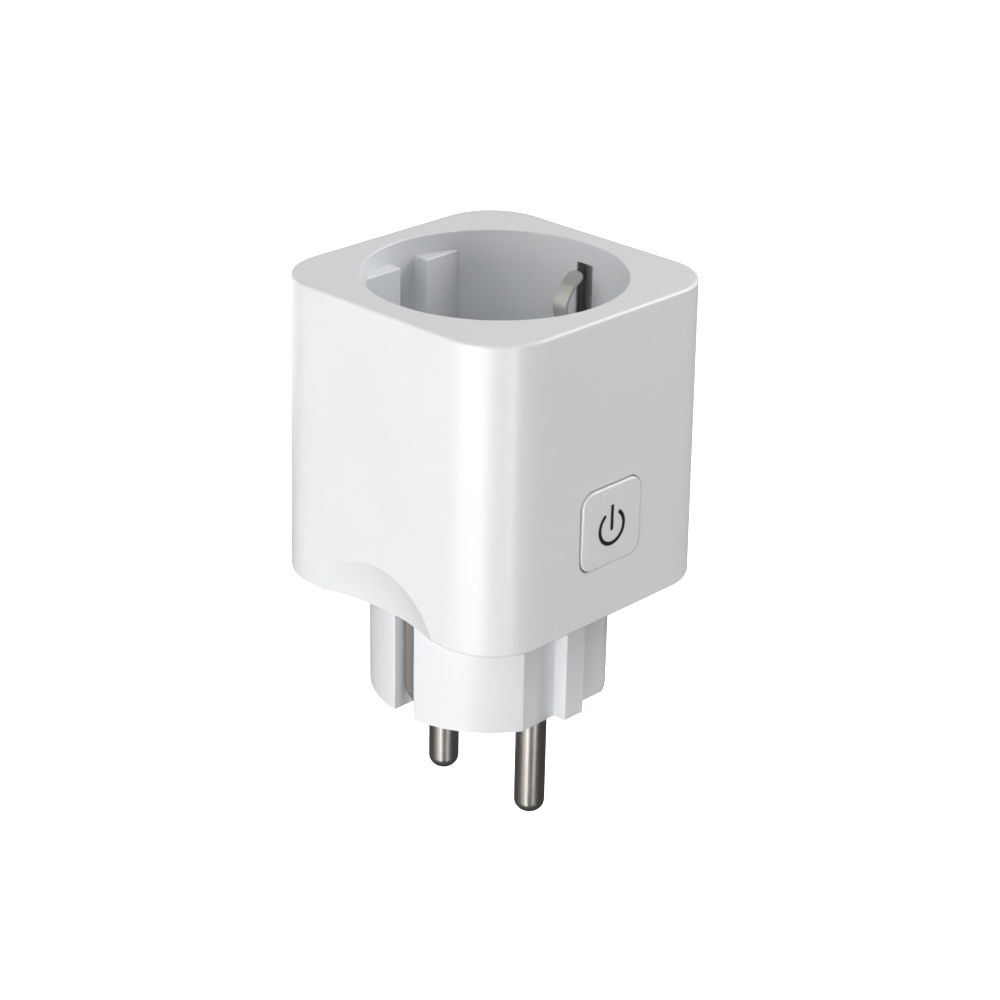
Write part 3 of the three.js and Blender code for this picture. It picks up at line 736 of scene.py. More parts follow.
WHITE = (0.744, 0.757, 0.773)
HOUSING_WHITE = MouldedPlastic("housing_white", WHITE, grain=0.04)
BUTTON_WHITE = MouldedPlastic("button_white", WHITE, 0.26, 0.03)
SYMBOL_INK = MouldedPlastic("symbol_ink", (0.012, 0.012, 0.013), 0.42, 0.1)
CARRIER_WHITE = MouldedPlastic("carrier_white", (0.7, 0.69, 0.65), 0.55, 0.3, grain_size=0.00025)
SHUTTER_WHITE = MouldedPlastic("shutter_acetal", (0.8, 0.79, 0.74), 0.38, 0.08)
RELAY_BLACK = MouldedPlastic("relay_black", (0.014, 0.014, 0.016), 0.34, 0.1, 0.1)
DULL_BLACK = MouldedPlastic("dull_black", (0.022, 0.022, 0.024), 0.5, 0.25, 0.1)
CHIP_EPOXY = MouldedPlastic("chip_epoxy", (0.016, 0.016, 0.017), 0.62, 0.5, 0.15, grain_size=0.0001)
SLEEVE_BLACK = MouldedPlastic("sleeve_film", (0.013, 0.016, 0.024), 0.3, 0.06, 0.12)
STRIPE_GREY = MouldedPlastic("stripe_ink", (0.42, 0.43, 0.45), 0.45, 0.1)
FERRITE = MouldedPlastic("ferrite", (0.03, 0.03, 0.034), 0.6, 0.6, 0.2, grain_size=0.0002)
BLUE_DIP = MouldedPlastic("blue_dip", (0.02, 0.09, 0.34), 0.35, 0.35, 0.1, grain_size=0.0006)
LACQUER = MouldedPlastic("green_lacquer", (0.07, 0.22, 0.15), 0.32, 0.3, 0.1, grain_size=0.0005)
LAMP_RESIN = MouldedPlastic("lamp_resin", (0.86, 0.83, 0.55), 0.15, 0.05, 0.05, subsurface=0.2)
OPAL = MouldedPlastic("opal_acrylic", (0.93, 0.93, 0.93), 0.8, 0.0, 0.0)

ROLLED = (4000, 9000, 200)  # roll lines up the earth parts
PIN_NICKEL = PlatedMetal("pin_nickel", (0.6, 0.575, 0.535), 0.31, depth=0.008, spread=0.04)
EARTH_NICKEL = PlatedMetal("earth_nickel", (0.66, 0.645, 0.61), 0.4, ROLLED, 0.03)
# A darker copy of the earth nickel for the strips that lie in the insert's slots: painted shade.
STRIP_SHADE_NICKEL = PlatedMetal("strip_painted_shade_nickel", (0.43, 0.42, 0.405), 0.42, ROLLED, 0.03)
# A dark metal for the U sheets that stand for the shade inside the clips' slots: painted shade.
SLOT_SHADE_NICKEL = PlatedMetal("slot_painted_shade_nickel", (0.46, 0.45, 0.43), 0.5, ROLLED, 0.04)
TIN_STRIP = PlatedMetal("tinned_brass", (0.66, 0.64, 0.6), 0.36, (7000, 7000, 180), 0.1)
CAN_STEEL = PlatedMetal("tinned_steel", (0.6, 0.6, 0.59), 0.3, (6000, 6000, 400))
ZINC = PlatedMetal("zinc_plate", (0.5, 0.51, 0.53), 0.32, (900, 900, 900), 0.12)
SOLDER = PlatedMetal("solder", (0.62, 0.62, 0.61), 0.22, (1200, 1200, 1200), 0.2)
MANGANIN = PlatedMetal("manganin_strip", (0.5, 0.31, 0.18), 0.4, (400, 9000, 400), 0.12)
COPPER_WIRE = PlatedMetal("enamelled_copper", (0.55, 0.2, 0.07), 0.28, (800, 800, 5000))

BOARD_MASK = SolderMask("green_mask", (0.012, 0.1, 0.04), (0.02, 0.17, 0.06))
RADIO_MASK = SolderMask("black_mask", (0.01, 0.012, 0.015), (0.022, 0.025, 0.03), 0.0009)


def show(
    part: Solid, name: str, finish: Finish, slot: str, *nodes: str, body: Body = Body.PLUG
) -> None:
    """Puts a finished part into the scene as a piece on a body, in place of its CAD nodes.

    Args:
        part: the piece's shape, or its mesh in the frame.
        name: of the piece.
        finish: what it is made of.
        slot: the record's material slot. Not used.
        nodes: the CAD nodes that the piece stands for.
        body: what it moves with.
    """
    mesh = as_mesh(part)
    mesh.name = name
    facing = np.empty(len(mesh.polygons) * 3, np.float32)
    mesh.polygons.foreach_get("normal", facing)
    flat = np.abs(facing.reshape(-1, 3)).max(1) > SQUARE_ON
    mesh.polygons.foreach_set("use_smooth", ~flat)
    mesh.set_sharp_from_angle(angle=SHARP_ANGLE)
    mesh.materials.clear()
    mesh.materials.append(FINISHES.of(finish))
    piece = bpy.data.objects.new(name, mesh)
    bpy.context.scene.collection.objects.link(piece)
    shading = piece.modifiers.new("flat_faces", "WEIGHTED_NORMAL")
    shading.keep_sharp = True
    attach(piece, body.value)
    if nodes:
        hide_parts(*nodes)
    log.info("%s: %d faces, rides on %s", name, len(mesh.polygons), body.value)


# ------------------------------------------------------------------------------------------------ housing


@dataclass(frozen=True)
class SnapHook:
    """A hook that holds the base in the sleeve. Four of them stand along the base's Y edges.

    Args:
        place: how far along X it stands.
        half: half its width.
        inner, outer: faces of its tongue.
        barb: how far out its barb reaches.
        top: height of the tongue.
        low, high: heights of the barb.
        play: the gap round the barb.
    """

    place: float = 12.0
    half: float = 3.0
    inner: float = 20.3
    outer: float = 21.75
    barb: float = 22.55
    top: float = 26.0
    low: float = 24.0
    high: float = 25.4
    play: float = 0.38

    def shape(self, x: int, y: int, foot: float) -> Shape:
        """The hook in a corner of the base, rooted at a height: its side outline run across its width."""
        side = [
            (self.inner, foot),
            (self.outer, foot),
            (self.outer, self.low),
            (self.barb, self.low + 0.2),
            (self.outer, self.high),
            (self.outer, self.top),
            (self.inner, self.top),
        ]
        outline = rounded(np.array(side) * [y, 1], [0, 0, 0.1, 0.15, 0.1, 0.3, 0.3], 3)
        middle = x * self.place
        return slab(outline, middle - self.half, middle + self.half, 0.12, 0.12, 3).laid(Axis.X)

    def pocket(self, x: int, y: int) -> Shape:
        """The hollow in the sleeve that the hook's barb stands in."""
        low, high = sorted((y * self.outer, y * (self.barb + self.play)))
        middle, half = x * self.place, self.half + self.play
        return soft_box(
            (middle - half, low, self.low - 0.3), (middle + half, high, self.high + 0.4), 0.15, 0, Axis.Y
        )


HOOK = SnapHook()


@dataclass
class Housing:
    """The square sleeve with its top face and socket well, in one moulding.

    The sleeve is a square with rounded corners that narrows a little upwards. Its walls have a constant
    thickness, also behind the two finger scoops.
    """

    corner: float = 9.64
    edge: float = 0.55
    foot_edge: float = 0.4
    wall: float = 2.0
    half_top: float = 23.7
    well_radius: float = 19.55
    well_wall: float = 1.6
    floor_top: float = 48.8
    floor_bottom: float = 46.8
    rim_round: float = 0.22
    rib_face: float = 17.0
    rib_drop: float = 3.0
    rib_groove: float = 2.55
    aperture: float = 3.0
    aperture_y: float = 9.5
    aperture_flare: float = 0.55
    slot_half: float = 1.6
    slot_top: float = 63.0
    scoop_radius: float = 33.4
    scoop_x: float = 55.0
    scoop_z: float = 14.5
    boss_radius: float = 2.4
    boss_drop: float = 2.85
    screw_place: float = 13.2
    screw_hole: float = 0.95
    window_half: float = 6.4
    window_corner: float = 2.4
    window_flare: float = 0.15

    def __post_init__(self) -> None:
        """Reads the sleeve's height and foot width from the frame."""
        low, high = box_mm("outer_housing")
        self.bottom, self.top, self.half_foot = float(low[2]), float(high[2]), float(high[1])

    def half_at(self, height: Array) -> Array:
        """Half the sleeve's width at a height, in a straight line from foot to top."""
        share = (height - self.bottom) / (self.top - self.bottom)
        return self.half_foot + (self.half_top - self.half_foot) * share

    def square(self, low: float, high: float, thinner: float, bottom: float, top: float) -> Shape:
        """The tapered rounded square between two heights.

        Every ring is a rounded square whose half width and corner radius both shrink by the wall and by the
        rim's quarter round at that height.

        Args:
            low: height of the bottom.
            high: height of the top.
            thinner: how far inside the sleeve's skin it lies.
            bottom: radius of the bottom rim.
            top: radius of the top rim.
        """
        less, height = rim_profile(low, high, bottom, top, 10).T[..., None]
        less = less + thinner
        half = self.half_at(height) - less
        radius = self.corner * self.half_at(height) / self.half_foot - less
        steps = 28
        angle = np.radians(np.linspace(-90, 0, steps + 1))
        quarter = np.tile(angle, 4) + np.repeat(np.radians([0, 90, 180, 270]), steps + 1)
        sign_x = np.repeat([1, 1, -1, -1], steps + 1)
        sign_y = np.repeat([-1, 1, 1, -1], steps + 1)
        x = sign_x * (half - radius) + radius * np.cos(quarter)
        y = sign_y * (half - radius) + radius * np.sin(quarter)
        return loft(np.stack(np.broadcast_arrays(x, y, height), -1))

    def scoop(self, side: int, radius: float) -> Shape:
        """The cap of a large sphere that sinks a finger scoop into the foot of one X face.

        The cap is turned about X, so its rings run round the scoop's own middle.
        """
        opening = np.radians(np.linspace(0, 40, 49))
        profile = np.stack([radius * np.sin(opening), radius * np.cos(opening)], -1)[::-1]
        cap = revolve(np.vstack([[0, profile[0, 1]], profile]), 160)
        return cap.turned(-side * 90, "Y").moved(side * self.scoop_x, 0, self.scoop_z)

    def scoops(self, thicker: float = 0.0) -> list[Shape]:
        """Both finger scoops, or the larger spheres at a distance behind them."""
        return [self.scoop(side, self.scoop_radius + thicker) for _, side in SIDES]

    def well(self) -> bpy.types.Mesh:
        """The socket well's hollow: a cylinder with a rounded rim, less the four key ribs."""
        radius, rim, over = self.well_radius, self.rim_round, self.top + 1
        lip = arc((radius + rim, self.top - rim), rim, 180, 90, 6)
        hollow = turning((radius, self.floor_top), *lip, (radius + rim, over), segments=192)
        groove, face, back = self.rib_groove, self.rib_face, radius + 1
        corners = [(groove, face), (radius, face), (radius, back), (groove, back)]
        outline = rounded(corners, [0.35, 0, 0, 0], 5)
        rib = slab(outline, self.floor_top - 1, self.top - self.rib_drop, 0, 0.3)
        return cut(hollow, *[rib.mirrored(half, side) for side in (-1, 1) for half in (-1, 1)])

    def hollow(self) -> bpy.types.Mesh:
        """The space inside the sleeve, less the well's wall, the screw bosses and the scoops' backs."""
        space = self.square(self.bottom - 1, self.top - self.wall, self.wall, 0, 0.6)
        outer, foot, boss = self.well_radius + self.well_wall, self.floor_bottom, self.boss_radius
        cylinder = turning((outer, foot), (outer, self.top), segments=128)
        bosses = at_corners(turning((boss, foot - self.boss_drop), (boss, foot + 1)), self.screw_place)
        return cut(space, cylinder, *bosses, *self.scoops(self.wall))

    def window(self) -> Shape:
        """The button's opening, its outer rim slightly rounded."""
        low, high = box_mm("button_cap")
        centre = (low[2] + high[2]) / 2
        face, flare = -float(self.half_at(centre)), self.window_flare
        rise = np.sin(np.linspace(0, np.pi / 2, 5))
        depth = [face - 1, *(face + flare * rise), face + 4]
        grow = [flare, *(flare * (1 - rise)), 0]
        outline = rectangle(self.window_half, self.window_half, self.window_corner, 8)
        return stacked(outline, np.stack([np.negative(grow), depth], -1)).laid(Axis.Y).moved(z=centre)

    def clip_slot(self, side: int) -> Shape:
        """The slot in the well's wall that an earth clip stands in."""
        outline = rectangle(1.5, self.slot_half, 0.15, 3)
        low = self.floor_bottom - 1
        return slab(outline, low, self.slot_top, 0, 0.15, 3).moved(side * (self.well_radius + 0.6))

    def apertures(self) -> list[Shape]:
        """The pin apertures through the floor, with chamfered mouths."""
        radius, low, high = self.aperture, self.floor_bottom - 1, self.floor_top
        mouth = radius + self.aperture_flare
        chamfer = [(radius, high - 0.5), (mouth, high + 0.05)]
        bore = turning((radius, low), *chamfer, (mouth, high + 1), segments=48)
        return at_poles(bore, self.aperture_y)

    def cutters(self) -> list[Shape]:
        """Everything small that is cut from the housing."""
        low, high = self.floor_bottom - 4, self.floor_top - 0.7
        blind = turning((self.screw_hole, low), (self.screw_hole, high), segments=24)
        slots = [self.clip_slot(side) for _, side in SIDES]
        cuts = [self.window(), *slots, *self.apertures(), *self.scoops()]
        for (x, y), hole in zip(CORNERS, at_corners(blind, self.screw_place)):
            cuts += [hole, HOOK.pocket(x, y)]
        return cuts

    def build(self) -> None:
        """Cuts the housing and shows it."""
        skin = self.square(self.bottom, self.top, 0, self.foot_edge, self.edge)
        mesh = cut(skin, self.hollow(), self.well(), *self.cutters())
        show(mesh, "housing_shell", HOUSING_WHITE, "housing", "outer_housing")


@dataclass
class PlugBase:
    """The base moulding: the plate that closes the sleeve, and the round plug insert under it."""

    radius: float = 18.33
    flat: float = 16.04
    ridge_half: float = 2.08
    ridge_face: float = 18.25
    slot_half: float = 2.0
    slot_floor: float = 14.4
    end_wall: float = 3.0
    wall: float = 1.85
    plate_bottom: float = 19.1
    plate_top: float = 21.1
    plate_half: float = 21.85
    plate_corner: float = 7.34
    edge: float = 0.13
    pin_y: float = 9.5
    bore: float = 2.46
    bore_mouth: float = 2.75
    boss_radius: float = 4.4
    boss_top: float = 6.6
    post_place: float = 16.6
    post_radius: float = 2.6
    post_top: float = 23.6
    scoop_gap: float = 0.3

    def outline(self) -> Array:
        """The insert's outline: a round with a flat, a ridge and a slot each way.

        Half of it runs from the +X slot over the +Y flat, and the other half is the same turned half a turn.
        """
        start = math.degrees(math.asin(self.slot_half / self.radius))
        stop = math.degrees(math.asin(self.flat / self.radius))
        right = arc((0, 0), self.radius, start, stop, 40)
        left = arc((0, 0), self.radius, 180 - stop, 180 - start, 40)
        ridge = [
            (self.ridge_half, self.flat),
            (self.ridge_half, self.ridge_face),
            (-self.ridge_half, self.ridge_face),
            (-self.ridge_half, self.flat),
        ]
        slot = [(-self.slot_floor, self.slot_half), (-self.slot_floor, -self.slot_half)]
        half = np.vstack([right, ridge, left, slot])
        plain = [0.0] * (len(right) - 2)
        radii = [0.25, *plain, 0.3, 0.25, 0.3, 0.3, 0.25, 0.3, *plain, 0.25, 0.2, 0.2]
        return rounded(np.vstack([half, -half]), radii * 2, 4)

    def cup(self) -> bpy.types.Mesh:
        """The space inside the insert: a round with flats, clear of the slots and of the pins' bosses."""
        inner, beyond, above = self.radius - self.wall, 20, 30
        space = turning((inner, self.end_wall), (inner, self.plate_top + 1), segments=96)
        flat, slot = self.flat - self.wall, (self.slot_floor - 1.2, 3.3)
        walls = [
            soft_box((-beyond, flat, 0), (beyond, beyond, above), 0, 0),
            soft_box((-beyond, -beyond, 0), (beyond, -flat, above), 0, 0),
            soft_box((slot[0], -slot[1], 0), (beyond, slot[1], above), 0.3, 0),
            soft_box((-beyond, -slot[1], 0), (-slot[0], slot[1], above), 0.3, 0),
        ]
        radius, top = self.boss_radius, self.boss_top
        boss = turning((radius, 0), (radius, top - 0.3), (radius - 0.3, top), segments=40)
        return cut(space, *walls, *at_poles(boss, self.pin_y))

    def build(self, housing: Housing) -> None:
        """Cuts the insert and the plate, and shows them as one piece.

        Args:
            housing: gives the scoops, whose backs the plate keeps clear of.
        """
        low, high, half = self.plate_bottom, self.plate_top, self.plate_half
        insert = slab(self.outline(), 0, low + 0.5, self.edge, 0, 5)
        plate = slab(rectangle(half, half, self.plate_corner, 14), low, high, 0.3, 0.2)
        opening = soft_box((15.0, -2.0, 18), (16.6, 2.0, 23), 0.2, 0)
        bore, mouth = self.bore, self.bore_mouth
        drilled = turning((mouth, -1), (mouth, 0.0), (bore, 0.3), (bore, 9), segments=48)
        post = disc(self.post_radius, high - 1, self.post_top, 36, 0.15)
        pilot = disc(1.1, low + 0.8, self.post_top + 1, 24)
        hooks = [HOOK.shape(x, y, high - 0.6) for x, y in CORNERS]
        whole = added(insert, plate, *hooks, *at_corners(post, self.post_place))
        whole = cut(
            whole,
            self.cup(),
            *housing.scoops(housing.wall + self.scoop_gap),
            *[opening.mirrored(side) for _, side in SIDES],
            *at_poles(drilled, self.pin_y),
            *at_corners(pilot, self.post_place),
        )
        show(whole, "plug_insert", HOUSING_WHITE, "housing", "base_housing")


@dataclass
class Pins:
    """The two plug pins: a rounded tip, a drawn shank and a riveted tail."""

    radius: float = 2.4
    tip_height: float = 2.1
    pin_y: float = 9.5

    def profile(self, low: float, high: float) -> Array:
        """The pin's outline from tip to tail: the tip is a quarter ellipse."""
        angle = np.linspace(0, np.pi / 2, 17)
        tip = np.stack([self.radius * np.sin(angle), low + self.tip_height * (1 - np.cos(angle))], -1)
        neck = [(2.4, 6.8), (2.2, 7.0), (1.5, 7.0), (1.5, 8.3), (2.2, 8.3)]
        rivet = [(2.3, 8.5), (1.9, high - 0.1), (1.3, high), (0, high)]
        return np.vstack([tip, [(self.radius, 0.0)], neck, rivet])

    def build(self) -> None:
        """Turns and shows both pins."""
        for pole, side in POLES:
            low, high = box_mm(f"{pole}_pin")
            pin = revolve(self.profile(low[2], high[2]), 72).moved(y=side * self.pin_y)
            show(pin, f"pin_{pole}", PIN_NICKEL, "pin", f"{pole}_pin")


@dataclass
class EarthPath:
    """The earth strips with their side contacts, and the sprung clips in the well, with dark channels in the
    clips' slots that paint shade on the slots' walls.
    """

    thickness: float = 0.8
    width: float = 3.6
    foot: float = 1.7
    point: float = 1.6
    point_width: float = 0.5
    strap_low: float = 15.8
    strap_out: float = 19.6
    strap_bend: float = 22.3
    strap_top: float = 44.2
    clip_thickness: float = 0.6
    clip_width: float = 2.8
    clip_foot: float = 20.4
    clip_end: float = 1.0
    channel_mouth: float = 19.7
    channel_back: float = 21.55
    channel_skin: float = 0.08
    channel_half: float = 1.58
    channel_heights: tuple[float, float] = (50.9, 62.9)

    def strap(self, side: int) -> Shape:
        """One side's strip: from its pointed foot up the slot, out under the plate, and up the wall."""
        inner, outer, bend = self.strap_low, self.strap_out, self.strap_bend
        corners = [(inner, self.foot), (inner, bend), (outer, bend), (outer, self.strap_top)]
        path = densify(bent_path(corners, 0.9), 0.2)
        share = np.clip((path[:, 1] - self.foot) / self.point, 0, 1)
        width = self.point_width + (self.width - self.point_width) * share
        return ribbon(path, self.thickness, width).mirrored(side)

    def channel(self, side: int) -> Shape:
        """A dark U sheet of painted shade in a clip's slot: a U outline, open to the well, raised up the
        slot.
        """
        mouth, back, half = self.channel_mouth, self.channel_back, self.channel_half
        inner, floor = half - self.channel_skin, back - 2 * self.channel_skin
        outer_u = [(mouth, -half), (back, -half), (back, half), (mouth, half)]
        inner_u = [(mouth, inner), (floor, inner), (floor, -inner), (mouth, -inner)]
        return slab(np.array(outer_u + inner_u), *self.channel_heights).mirrored(side)

    def clip(self, side: int) -> Shape:
        """One clip: up its slot, bowed in to the contact point, then back out to a rounded end.

        Near the end the width narrows as a quarter circle does over the distance that is left.
        """
        foot = [(self.clip_foot, height) for height in (43.0, 46.0, 49.0)]
        bow = [(19.2, 51.4), (15.6, 54.3), (14.25, 57.4), (15.6, 60.1), (18.1, 62.0)]
        path = spline_path([*foot, *bow], 90)
        travel = travelled(path)
        left = np.clip((travel[-1] - travel) / self.clip_end, 0.02, 1)
        narrower = 1 - np.sqrt(np.clip(1 - (1 - left) ** 2, 0, 1))
        width = self.clip_width - 2 * self.clip_end * narrower
        return ribbon(path, self.clip_thickness, width, 0.15).mirrored(side)

    def build(self) -> None:
        """Bends and shows the strips, the clips and the dark channels of painted shade."""
        for name, side in SIDES:
            body = Body.LEFT_CLIP if side < 0 else Body.RIGHT_CLIP
            strip, spring, shade_sheet = f"earth_strip_{name}", f"earth_spring_{name}", f"earth_channel_{name}"
            # The strips take the darker nickel: painted shade in the insert's slots.
            show(self.strap(side), strip, STRIP_SHADE_NICKEL, "earth_strip", f"earth_strap_{name}")
            show(self.clip(side), spring, EARTH_NICKEL, "earth_strip", f"earth_clip_{name}", body=body)
            # A dark U sheet in the clip's slot: painted shade on the slot's walls.
            show(self.channel(side), shade_sheet, SLOT_SHADE_NICKEL, "earth_strip")


# ------------------------------------------------------------------------------------------------ button


@dataclass
class PowerButton:
    """The button cap with its power symbol let in."""

    half: float = 6.2
    corner: float = 2.2
    edge: float = 0.3
    symbol_z: float = 33.8
    symbol_radius: float = 2.55
    stroke: float = 0.6
    gap_angle: float = 38.0
    bar: tuple[float, float] = (33.3, 37.4)
    depth: float = 0.25
    play: float = 0.03
    ink_drop: float = 0.01
    flange_half: float = 7.4
    flange_corner: float = 2.6
    flange: tuple[float, float] = (-21.75, -20.95)
    stem_radius: float = 2.0
    stem_end: float = -20.35

    def ring(self, play: float) -> Array:
        """The open ring's outline: an outer arc, a round end, an inner arc back and a round end."""
        end = self.stroke / 2 + play
        start, stop = 90 + self.gap_angle, 450 - self.gap_angle
        tip, tail = (arc((0, 0), self.symbol_radius, at, at, 1)[0] for at in (stop, start))
        runs = [
            arc((0, 0), self.symbol_radius + end, start, stop, 60),
            arc(tip, end, stop, stop + 180, 8),
            arc((0, 0), self.symbol_radius - end, stop, start, 60),
            arc(tail, end, start + 180, start + 360, 8),
        ]
        return distinct(np.vstack(runs))

    def marks(self, play: float, corner: float, front: float, back: float) -> tuple[Shape, Shape]:
        """The symbol's open ring and its bar between two depths.

        Args:
            play: how much larger than the stroke they are all round.
            corner: radius of the bar's corners.
            front: the depth where they start.
            back: the depth where they end.
        """
        low, high = self.bar
        bar = rectangle(self.stroke / 2 + play, (high - low) / 2 + play, corner, 8)
        ring = slab(self.ring(play), front, back).laid(Axis.Y).moved(z=self.symbol_z)
        return ring, slab(bar, front, back).laid(Axis.Y).moved(z=(low + high) / 2)

    def build(self) -> None:
        """Moulds the cap, cuts its symbol in and fills it."""
        low, high = box_mm("button_cap")
        front, centre = low[1], (low[2] + high[2]) / 2
        near, far = self.flange
        cap = slab(rectangle(self.half, self.half, self.corner, 12), front, near + 0.3, self.edge, 0, 6)
        skirt = rectangle(self.flange_half, self.flange_half, self.flange_corner, 8)
        flange = slab(skirt, near, far, 0.15, 0.15)
        radius, end = self.stem_radius, self.stem_end
        stem = turning((radius, far - 0.2), (radius, end - 0.1), (radius - 0.1, end), segments=40)
        cap, flange, stem = (part.laid(Axis.Y).moved(z=centre) for part in (cap, flange, stem))
        back = front + self.depth
        face = cut(cap, *self.marks(self.play, self.stroke / 2, front - 1, back + self.play))
        key = gathered([face, flange, stem])
        ring, bar = self.marks(0, self.stroke / 2 - 0.001, front + self.ink_drop, back)
        show(key, "button_key", BUTTON_WHITE, "button", "button_cap", body=Body.BUTTON)
        show(ring, "symbol_ring", SYMBOL_INK, "symbol", "power_symbol_ring", body=Body.BUTTON)
        show(bar, "symbol_bar", SYMBOL_INK, "symbol", "power_symbol_bar", body=Body.BUTTON)


# ------------------------------------------------------------------------------------------------ contacts


@dataclass
class Contacts:
    """The metal inside: pin straps, socket sleeves and the earth bridge."""

    pin_y: float = 9.5
    strap_z: float = 7.65
    strap_x: float = -6.8
    strap_top: float = 26.4
    strap_thickness: float = 0.8
    sleeve_inner: float = 2.55
    sleeve_outer: float = 3.2
    sleeve_low: float = 30.2
    sleeve_high: float = 41.9
    mouth: float = 17.2
    waist: float = 0.07
    waist_z: float = 37.5

    def pin_strap(self, side: int) -> bpy.types.Mesh:
        """A foot with the hole for a pin's tail, bent up into a narrower leg that stands in the main board.

        The width is 3.4, 1.8 more over the foot, and narrows by up to 1.2 over the leg's last 1.2.
        """
        low, top, leg = self.strap_z, self.strap_top, self.strap_x
        fine = densify(bent_path([(2.65, low), (leg, low), (leg, top)], 0.7), 0.5)
        foot = np.clip((fine[:, 0] + 5.6) / 1.6, 0, 1)
        tip = np.clip((self.strap_top - fine[:, 1]) / 1.2, 0, 1)
        width = 3.4 + 1.8 * foot - 1.2 * (1 - tip)
        strap = ribbon(fine, self.strap_thickness, width, 0.1)
        hole = disc(1.62, self.strap_z - 2, self.strap_z + 2, 40)
        return cut(*(part.moved(y=side * self.pin_y) for part in (strap, hole)))

    def sleeve(self, side: int) -> bpy.types.Mesh:
        """A split sleeve that narrows at its waist, on a leg down to the main board.

        At height z the split ring is scaled by 1 - waist * exp(-((z - waist_z) / 2.2)^2), and by a little
        more than that at the mouth.
        """
        start, stop = self.mouth, 360 - self.mouth
        outer = arc((0, 0), self.sleeve_outer, start, stop, 56)
        outline = np.vstack([outer, arc((0, 0), self.sleeve_inner, stop, start, 56)])
        height = np.linspace(self.sleeve_low, self.sleeve_high, 36)
        scale = 1 - self.waist * np.exp(-(((height - self.waist_z) / 2.2) ** 2))
        scale += 0.04 * np.clip((height - self.sleeve_high + 1.2) / 1.2, 0, 1) ** 2
        x, y = (scale[:, None] * across for across in outline.T)
        rings = np.stack(np.broadcast_arrays(x, y, height[:, None]), -1)
        leg = ribbon(densify(np.array([(2.86, 23.0), (2.86, 32.0)]), 0.5), 0.6, 3.0, 0.1).turned(90)
        sleeve = gathered([loft(rings), leg])
        return placed(sleeve, (0, side * self.pin_y, 0), math.pi if side < 0 else 0.0)

    def bridge(self) -> bpy.types.Mesh:
        """The strip that joins the two earth sides, with a locating hole between two pressed ribs."""
        strip = slab(rectangle(19.0, 2.2, 0.5, 5), 41.2, 42.0, 0.12, 0.12)
        pressed = slab(rectangle(4.5, 0.5, 0.45, 5), 41.75, 43)
        return cut(strip, disc(1.0, 40, 43, 32), *[pressed.moved(x) for x in (-12.0, 12.0)])

    def build(self) -> None:
        """Makes and shows all of them."""
        for pole, side in POLES:
            strap, sleeve = f"pin_strap_{pole}", f"contact_sleeve_{pole}"
            show(self.pin_strap(side), strap, TIN_STRIP, "contact_strip", f"{pole}_pin_strap")
            show(self.sleeve(side), sleeve, TIN_STRIP, "contact_strip", f"{pole}_socket_contact")
        show(self.bridge(), "earth_link", EARTH_NICKEL, "earth_strip", "earth_bridge")


